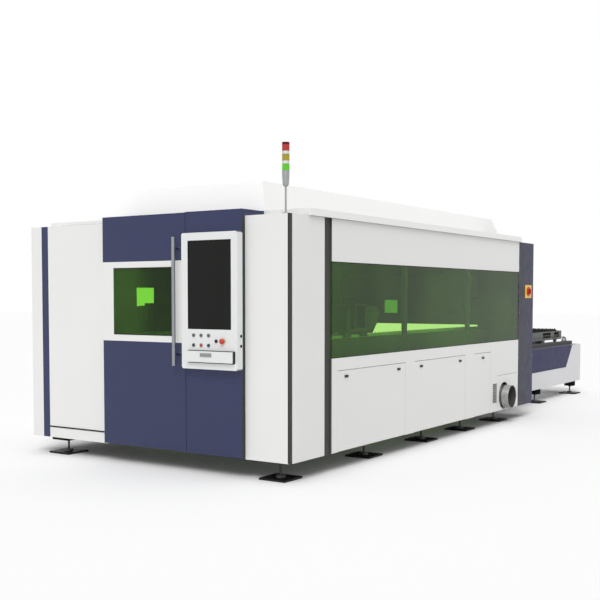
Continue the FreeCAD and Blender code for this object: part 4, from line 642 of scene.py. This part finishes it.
def feet_metal():
    """Black plates and pad, zinc-plated bosses, nuts and screws with their thread."""
    plate_top, thread_pitch = 15.3, 2.5
    pad_x, pad_y, pad_z = (40, 260), (2380, 2610), (119.8, 161)
    look = raw_steel("feet_metal", srgb(46, 46, 48), srgb(30, 30, 32), 0.5)
    zinc = look.math("GREATER_THAN", look.along("Z"), plate_top)
    pad = look.both(look.between("Z", *pad_z), look.between("Y", *pad_y),
                    look.between("X", *pad_x))
    look.over(zinc, srgb(120, 120, 122))
    look.over(pad, srgb(30, 30, 30))
    turns = look.math("SINE", look.math("MULTIPLY", look.along("Z"), math.tau / thread_pitch))
    look.bump(look.math("MULTIPLY", turns, zinc), 0.6, 0.0012)
    return look


def pole_metal():
    """The tower's pole and base, its pale spacers and its dark red cap, told apart by height."""
    look = steel("pole_metal", srgb(160, 162, 164), 0.4, "Z")
    low, high = span_mm("tower_lenses")
    cap_height = 60
    look.over(look.between("Z", low.z + 1, high.z - 1), srgb(206, 210, 205))
    look.over(look.between("Z", high.z - 0.5, high.z + cap_height), srgb(96, 40, 38))
    return look


def lens_plastic():
    """The three lamp lenses, told apart by their height."""
    look = moulded("lens_plastic", srgb(200, 40, 40), 0.25, 0.02)
    low, high = span_mm("tower_lenses")
    third = (high.z - low.z) / 3
    look.over(look.between("Z", low.z - 1, low.z + third), srgb(92, 196, 30))
    look.over(look.between("Z", low.z + third, high.z - third), srgb(166, 150, 40))
    look.over(look.between("Z", high.z - third, high.z + 1), srgb(176, 44, 40))
    return look


def table_paint():
    """The exchange table's frame: grey beams, and black blocks above the feet."""
    look = paint("table_paint", srgb(104, 104, 108), 0.5, 0.10, specular=0.0)
    block_top = 175.5
    look.over(look.between("Z", 0, block_top), srgb(28, 28, 29))
    return look


# One look for each slot whose nodes or pieces have none of their own.
LOOKS = {
    "bed_paint": paint("bed_paint", srgb(78, 82, 84), 0.5, 0.12),
    "blue_paint": paint("blue_paint", GREY_BLUE, 0.42, specular=0.25),
    "button_dark": moulded("button_dark", srgb(46, 44, 46), 0.4),
    "button_grey": moulded("button_grey", srgb(92, 84, 84), 0.4),
    "button_red": moulded("button_red", srgb(196, 50, 34), 0.35),
    "chain_steel": raw_steel("chain_steel", srgb(110, 108, 104), srgb(70, 68, 66), 0.4),
    "console_white": paint("console_white", CONSOLE_WHITE, 0.34),
    "dark_trim": paint("dark_trim", GASKET_AND_PAINTED_SHADE, 0.6, 0.08, specular=0.3),
    "foot_iron": feet_metal(),
    "gantry_alloy": paint("gantry_paint", srgb(74, 76, 78), 0.45, 0.10),
    "green_glass": laser_glass("green_glass"),
    "ground_steel": steel("ground_steel", srgb(170, 170, 172), 0.28),
    "head_black": moulded("head_black", srgb(50, 50, 54), 0.4),
    "latch_black": moulded("latch_black", srgb(16, 16, 16), 0.45),
    "lens_plastic": lens_plastic(),
    "motor_paint": paint("motor_paint", srgb(60, 62, 66), 0.45, 0.15),
    "pallet_paint": paint("pallet_paint", srgb(80, 86, 84), 0.5, 0.12),
    "pan_steel": raw_steel("pan_steel", srgb(110, 110, 108), srgb(80, 76, 72), 0.5),
    "pole_grey": pole_metal(),
    "screen_black": moulded("screen_black", srgb(12, 11, 10), 0.34, 0.0, 0.2),
    "slat_steel": raw_steel("slat_steel", srgb(70, 66, 62), srgb(46, 42, 40), 0.6),
    "switch_red": moulded("switch_red", srgb(176, 26, 14), 0.3),
    "white_paint": paint("white_paint", WHITE, 0.38),
    "yellow_plastic": moulded("yellow_plastic", srgb(240, 186, 52), 0.35),
    "zinc_pipe": pipe_metal(),
}
# Nodes with a look of their own.
NODE_LOOKS = {
    "console_bezels": bezel_metal(),
    "dark_strips": strip_paint(),
    "door_handle": handle_metal(),
    "door_leaf": door_paint(),
    "door_portal": portal_paint(),
    "door_track": track_paint(),
    "far_side_panels": far_paint(),
    "front_panels": front_paint(),
    "keyboard_tray": tray_paint(),
    "near_side_panels": side_paint(),
    "rear_cabinets": cabinet_paint(),
    "rear_shutter": shutter_paint(),
    "rear_wall": wall_paint(),
    "roof_hood": roof_paint("hood_paint"),
    # The lip is painted a little paler than the panels' white, as painted light.
    "roof_lip": roof_paint("lip_paint", srgb(241, 241, 240)),
    "table_frame": table_paint(),
    "table_panels": table_white(),
    "table_side_plates": paint("table_blue", srgb(61, 62, 92), 0.6, specular=0.16),
    "welded_frame": frame_coat(),
}


def dress_nodes():
    """Gives each CAD node the look of its slot, or its own."""
    for name, node in NODES.items():
        slot = node.data.materials[0].name.split(".")[0]
        look = NODE_LOOKS.get(name) or LOOKS[slot]
        node.data.materials.clear()
        node.data.materials.append(look.material)
        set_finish(node, slot)


# ---------------------------------------------------------------- pieces

SHARP = math.radians(35)     # edges that turn further than this stay sharp
SKIN = 0.3                   # the least rounding, for thin seals


class Piece:
    """A mesh drawn in machine millimetres, which then rides on a body."""

    def __init__(self):
        self.mesh = bmesh.new()

    def block(self, x, y, z, edge=0.8):
        """A block between the pairs x, y and z with rounded edges."""
        corners = bmesh.ops.create_cube(self.mesh, size=1.0)["verts"]
        for corner in corners:
            corner.co = [low + (high - low) * (part + 0.5)
                         for part, (low, high) in zip(corner.co, (x, y, z))]
        self.round_edges((found for corner in corners for found in corner.link_edges), edge)

    def round_edges(self, found, width):
        """Rounds each of the edges found, whether it was found once or more."""
        edges = list(dict.fromkeys(found))
        bmesh.ops.bevel(self.mesh, geom=edges, offset=width, segments=2, profile=0.6,
                        affect="EDGES")

    def surround(self, axis, depth, across, height, width, edge=0.6):
        """Four bars round an opening in a wall that faces along X or Y, just inside its edge."""
        (a_low, a_high), (z_low, z_high) = across, height
        bars = (((a_low, a_high), (z_low, z_low + width)),
                ((a_low, a_high), (z_high - width, z_high)),
                ((a_low, a_low + width), (z_low + width, z_high - width)),
                ((a_high - width, a_high), (z_low + width, z_high - width)))
        for reach, level in bars:
            pair = (depth, reach) if axis == "X" else (reach, depth)
            self.block(*pair, level, edge)

    def plate(self, outline, near, far, edge=0.8):
        """A plate with an outline of (x, z) points, between two Y, with rounded edges."""
        rings = [[self.mesh.verts.new((x, y, z)) for x, z in outline] for y in (near, far)]
        faces = [self.mesh.faces.new(ring) for ring in rings]
        for step in range(len(outline)):
            after = (step + 1) % len(outline)
            faces.append(self.mesh.faces.new((rings[0][step], rings[0][after],
                                              rings[1][after], rings[1][step])))
        self.round_edges((found for face in faces for found in face.edges), edge)

    def turned(self, centre, axis, profile, sides=24, flute=0.0, open_ring=False):
        """A form turned round an axis from (radius, distance along the axis) pairs. Its two ends
        are closed, or with open_ring its last pair joins its first and the middle stays open.
        A flute is how far every second side draws in."""
        index = "XYZ".index(axis)
        rings = []
        for radius, distance in profile:
            ring = []
            for step in range(sides):
                reach = radius - flute * (step % 2)
                angle = math.tau * step / sides
                point = list(centre)
                point[index] += distance
                point[(index + 1) % 3] += reach * math.cos(angle)
                point[(index + 2) % 3] += reach * math.sin(angle)
                ring.append(self.mesh.verts.new(point))
            rings.append(ring)
        following = rings[1:] + rings[:1] if open_ring else rings[1:]
        for low, high in zip(rings, following):
            for step in range(sides):
                after = (step + 1) % sides
                self.mesh.faces.new((low[step], low[after], high[after], high[step]))
        if not open_ring:
            self.mesh.faces.new(rings[0])
            self.mesh.faces.new(rings[-1])

    def finish(self, name, body, slot, look=None):
        """Turns the drawing into an object that rides on a body."""
        bmesh.ops.recalc_face_normals(self.mesh, faces=self.mesh.faces)
        for vert in self.mesh.verts:
            vert.co = place(*vert.co)
        data = bpy.data.meshes.new(name)
        self.mesh.to_mesh(data)
        self.mesh.free()
        data.shade_smooth()
        data.set_sharp_from_angle(angle=SHARP)
        data.materials.append((look or LOOKS[slot]).material)
        made = bpy.data.objects.new(name, data)
        bpy.context.scene.collection.objects.link(made)
        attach(made, body)
        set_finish(made, slot)
        return made


SIDE_WINDOW_Z = (902.6, 1664.4)
FAR_WINDOWS_X = ((1341, 1611), (3575, 3845))
FAR_WINDOWS_Z = (1285, 1485)
DOOR_GASKET_X = (-42, -38.5)
SIDE_GASKET_Y = (0.3, 1.9)
FAR_GASKET_Y = (ENCLOSURE_FAR - 1.9, ENCLOSURE_FAR + 1.5)


def window_gaskets():
    """Rubber round the door's window, the long window and the far side's two."""
    low, high = span_mm("door_glass")
    lap = 1
    door = Piece()
    door.surround("X", DOOR_GASKET_X, (low.y - lap, high.y + lap), (low.z - lap, high.z + lap),
                  width=5)
    door.finish("door_window_gasket", "front_door", "dark_trim")
    side = Piece()
    side.surround("Y", SIDE_GASKET_Y, (SIDE_START, SIDE_END - lap), SIDE_WINDOW_Z, width=5)
    for reach in FAR_WINDOWS_X:
        side.surround("Y", FAR_GASKET_Y, reach, FAR_WINDOWS_Z, width=7)
    side.finish("side_window_gaskets", "machine", "dark_trim")


# How far each seal, and the corner's shade strip, reaches along X, Y and Z.
SERVICE_SEAL = ((4007, 4554), (-0.6, 1.5), (532.2, 535.4))
# painted shade: a dark strip that widens the front corner's recess
CORNER_SHADE_STRIP = ((-0.8, 1.5), (16.6, 22.5), (153, 2000))
COLUMN_SEAL = ((-41.5, -38), (963.4, 966), (170, 2040))


def seam_seals():
    """Seals over the service panel and down the column's edge, and a dark strip down the front corner
    as painted shade.
    """
    pale = moulded("seam_rubber", srgb(96, 96, 94), 0.7)
    for name, reach, look in (("service_panel_seal", SERVICE_SEAL, pale),
                              ("corner_shade_strip", CORNER_SHADE_STRIP, None),
                              ("column_seal", COLUMN_SEAL, None)):
        edging = Piece()
        edging.block(*reach, edge=SKIN)
        edging.finish(name, "machine", "dark_trim", look)


HOUSING_X = -105.0                   # the console housing's front
BUTTON_LEVELS = {"upper": 1092, "lower": 1016}
STOP_AT = (541, 1051)                # the emergency stop's middle, Y and Z
SCREEN = ((467, 887), (1140, 1820))  # across Y, and Z
# Dark strips round the tray as painted shade of its slot: for each, across Y and Z.
TRAY_SHADE_STRIPS = (((428, 886), (974, 977.5)), ((428, 431), (886, 974)), ((434, 884), (879, 887)))
CAP_SHAPE = ((0.25, 0.9), (0.6, 0.6), (0.82, 0.0), (0.96, 0.9))  # share of radius, depth
STOP_RING = ((20.6, 2.6), (21.0, 0.4), (22.4, 0.0), (23.4, 1.0), (23.4, 2.6))    # radius, depth


def button_caps():
    """Domed caps in place of the six push buttons."""
    for row, level in BUTTON_LEVELS.items():
        for number in (1, 2, 3):
            node = "button_%s_%d" % (row, number)
            low, high = span_mm(node)
            radius = (high.y - low.y) / 2
            dome = tuple((radius * share, depth) for share, depth in CAP_SHAPE)
            neck = radius * 0.8
            shank = ((radius, 2.4), (radius, 20), (neck, 21), (neck, high.x - low.x))
            cap = Piece()
            cap.turned((low.x, ((low + high) / 2).y, level), "X", dome + shank, sides=28)
            slot = NODES[node]["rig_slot"]
            made = cap.finish(node + "_cap", "push_%s_%d" % (row, number), slot)
            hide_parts(node)


def console_trim():
    """A yellow ring under the stop knob, a rim round the screen, and dark strips round the tray as
    painted shade.
    """
    ring = Piece()
    ring.turned((HOUSING_X - 2.5, *STOP_AT), "X", STOP_RING, sides=36, open_ring=True)
    ring.finish("stop_ring", "machine", "yellow_plastic")
    rim = Piece()
    rim.surround("X", (HOUSING_X - 0.6, HOUSING_X + 2.5), *SCREEN, width=7)
    rim.finish("screen_rim", "machine", "screen_black")
    edging = Piece()
    # Dark strips round the tray stand for the shade in its slot.
    for across, level in TRAY_SHADE_STRIPS:
        edging.block((HOUSING_X - 0.8, HOUSING_X + 1), across, level, edge=SKIN)
    edging.finish("tray_slot_shade", "machine", "dark_trim")


def keyboard_keys():
    """Five rows of keys in the tray."""
    rows, columns, side, level = 5, 15, 22, (911.5, 917)
    first_x, pitch_x = -98, 27
    first_y, pitch_y = 466, 25.7
    keys = Piece()
    for row in range(rows):
        for column in range(columns):
            x, y = first_x + row * pitch_x, first_y + column * pitch_y
            keys.block((x, x + side), (y, y + side), level, edge=1.6)
    keys.finish("keyboard_keys", "tray", "button_dark")


HANDLE_FEET_Z = (938, 1764)
FOOT_SHAPE = ((19, 0), (19, -3), (16, -6), (12, -8))     # radius, X from the door's leaf
END_SHAPE = ((12, 0), (15.6, 2.5), (15.6, 14))           # radius, depth from the bar's end


def handle_bosses():
    """Round feet where the door's long handle stands, and caps on its ends."""
    low, high = span_mm("door_handle")
    leaf_x, bar_x = -40, -110
    y = (low.y + high.y) / 2
    bosses = Piece()
    for z in HANDLE_FEET_Z:
        bosses.turned((leaf_x, y, z), "X", FOOT_SHAPE, sides=32)
    for z, inward in ((low.z, 1), (high.z, -1)):
        bosses.turned((bar_x, y, z), "Z", [(r, d * inward) for r, d in END_SHAPE], sides=32)
    bosses.finish("handle_bosses", "front_door", "handle_alloy", NODE_LOOKS["door_handle"])


def signal_lenses():
    """Three fluted lamp lenses on the tower."""
    low, high = span_mm("tower_lenses")
    x, y = (low.x + high.x) / 2, (low.y + high.y) / 2
    neck, belly, height, pitch = 24.5, 27.3, 48.5, 71.0
    lenses = Piece()
    for number in range(3):
        base = low.z + number * pitch
        lenses.turned((x, y, base), "Z",
                      ((neck, 0), (belly, 2), (belly, height - 2), (neck, height)),
                      sides=72, flute=1.1)
    made = lenses.finish("fluted_lenses", "machine", "lens_plastic")
    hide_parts("tower_lenses")


def outlet_rim():
    """The outlet's rolled edge."""
    roll, lip_radius, lip_y = 2.4, 122.4, -87.4
    angles = [math.pi * step / 6 for step in range(-2, 9)]
    rim = Piece()
    rim.turned(OUTLET, "Y", [(lip_radius + roll * math.cos(a), lip_y + roll * math.sin(a))
                             for a in angles], sides=96, open_ring=True)
    rim.finish("outlet_rim", "machine", "zinc_pipe",
               steel("rim_zinc", srgb(206, 207, 206), 0.36, "Y"))


GUARD_OUTLINE = ((1772, 1056), (1904, 1058), (1917, 1073), (1992, 1154), (2030, 1246),
                 (1990, 1296), (1772, 1312))
RIB_OUTLINE = ((1847, 1100), (1896, 1104), (1968, 1186), (1972, 1238), (1847, 1250))
GUARDS_Y = (((372, 380), (379, 387)), ((2397, 2405), (2390, 2398)))      # a guard, and its rib


def gantry_guards():
    """Swept end guards behind the gantry's saddles, each with a stiffening rib on its inside."""
    guards = Piece()
    for guard, rib in GUARDS_Y:
        guards.plate(GUARD_OUTLINE, *guard)
        guards.plate(RIB_OUTLINE, *rib)
    guards.finish("gantry_guards", "gantry", "gantry_alloy",
                  paint("guard_paint", srgb(46, 48, 48), 0.5, 0.10))


FLANGE_SHAPE = ((50, 0), (51, -2), (51, -9), (48, -12), (30, -13))     # radius, Y from its seat


def switch_flange():
    """The round flange behind the main switch's handle, with finger grooves on its rim."""
    low, high = span_mm("main_switch")
    middle = ((low.x + high.x) / 2, high.y, (low.z + high.z) / 2)
    flange = Piece()
    flange.turned(middle, "Y", FLANGE_SHAPE, sides=48, flute=1.6)
    flange.finish("switch_flange", "isolator", "switch_red")


CABINET_BACK = 5064
VENT_Y = (70, 310)                   # on the near cabinet, and mirrored on the far one
VENTS_Z = ((1500, 1740), (300, 480))


def cabinet_vents():
    """Raised louvre blades on the rear cabinets' backs."""
    pitch, blade, depth = 20, 9, (CABINET_BACK - 0.5, CABINET_BACK + 3)
    low, high = VENT_Y
    vents = Piece()
    for across in ((low, high), (ENCLOSURE_FAR - high, ENCLOSURE_FAR - low)):
        for foot, top in VENTS_Z:
            for level in range(foot, top, pitch):
                vents.block(depth, across, (level, level + blade), edge=1.2)
    vents.finish("cabinet_vents", "machine", "blue_paint")


VALVE_BOXES = (((1423, 1640), 1322), ((1346, 1423), 1297))       # each one's X, and its top


def valve_boxes():
    """Gas valve boxes with lids on the far wall's inside, at the foot of its front window."""
    foot, box_y, lid_y = 1140, (2640, 2740), (2634, 2641)
    boxes = Piece()
    for (low, high), top in VALVE_BOXES:
        boxes.block((low, high), box_y, (foot, top), edge=2)
        boxes.block((low + 6, high - 6), lid_y, (foot + 10, top - 12), edge=1.5)
    boxes.finish("valve_boxes", "machine", "motor_paint")


# A screw head's radius and depth into the panel, which is less than 0 in front of it.
SCREW_HEAD = ((1.8, -1.2), (2.2, -2.8), (4.2, -2.4), (5.2, -0.9), (5.4, 0.4))
CABINET_X, CABINET_Z = (4625, 5044), (190, 700, 1210, 1720)
CABINET_Y = (20, 360, ENCLOSURE_FAR - 360, ENCLOSURE_FAR - 20)
TABLE_X, TABLE_Y, TABLE_Z = (5200, 5900, 6600, 7300, 8000), 385, 215
FAR_PANEL_X = (640, 1200, 1820, 1980, 2600, 3200, 3360, 3900, 4540)
FAR_PANEL_Z = (195, 860, 940, 1940)


def screw_rows():
    """Pan-head screws with a socket along the panels' edges."""
    screws = Piece()

    def screw(x, y, z, axis, sign):
        screws.turned((x, y, z), axis, [(r, d * sign) for r, d in SCREW_HEAD], sides=12)

    for z in CABINET_Z:
        for y, sign in ((0, 1), (ENCLOSURE_FAR, -1)):
            for x in CABINET_X:
                screw(x, y, z, "Y", sign)
        for y in CABINET_Y:
            screw(CABINET_BACK, y, z, "X", -1)
    for x in TABLE_X:
        screw(x, TABLE_Y, TABLE_Z, "Y", 1)
        screw(x, ENCLOSURE_FAR - TABLE_Y, TABLE_Z, "Y", -1)
    for x in FAR_PANEL_X:
        for z in FAR_PANEL_Z:
            screw(x, ENCLOSURE_FAR, z, "Y", -1)
    screws.finish("panel_screws", "machine", "ground_steel")


# ---------------------------------------------------------------- all of it

bpy.context.scene.view_settings.view_transform = "Standard"
make_camera()
make_world()
make_lamp("overhead", *OVERHEAD)
make_lamp("key", *KEY)
make_floor()
dress_nodes()
window_gaskets()
seam_seals()
button_caps()
console_trim()
keyboard_keys()
handle_bosses()
signal_lenses()
outlet_rim()
gantry_guards()
switch_flange()
cabinet_vents()
valve_boxes()
screw_rows()
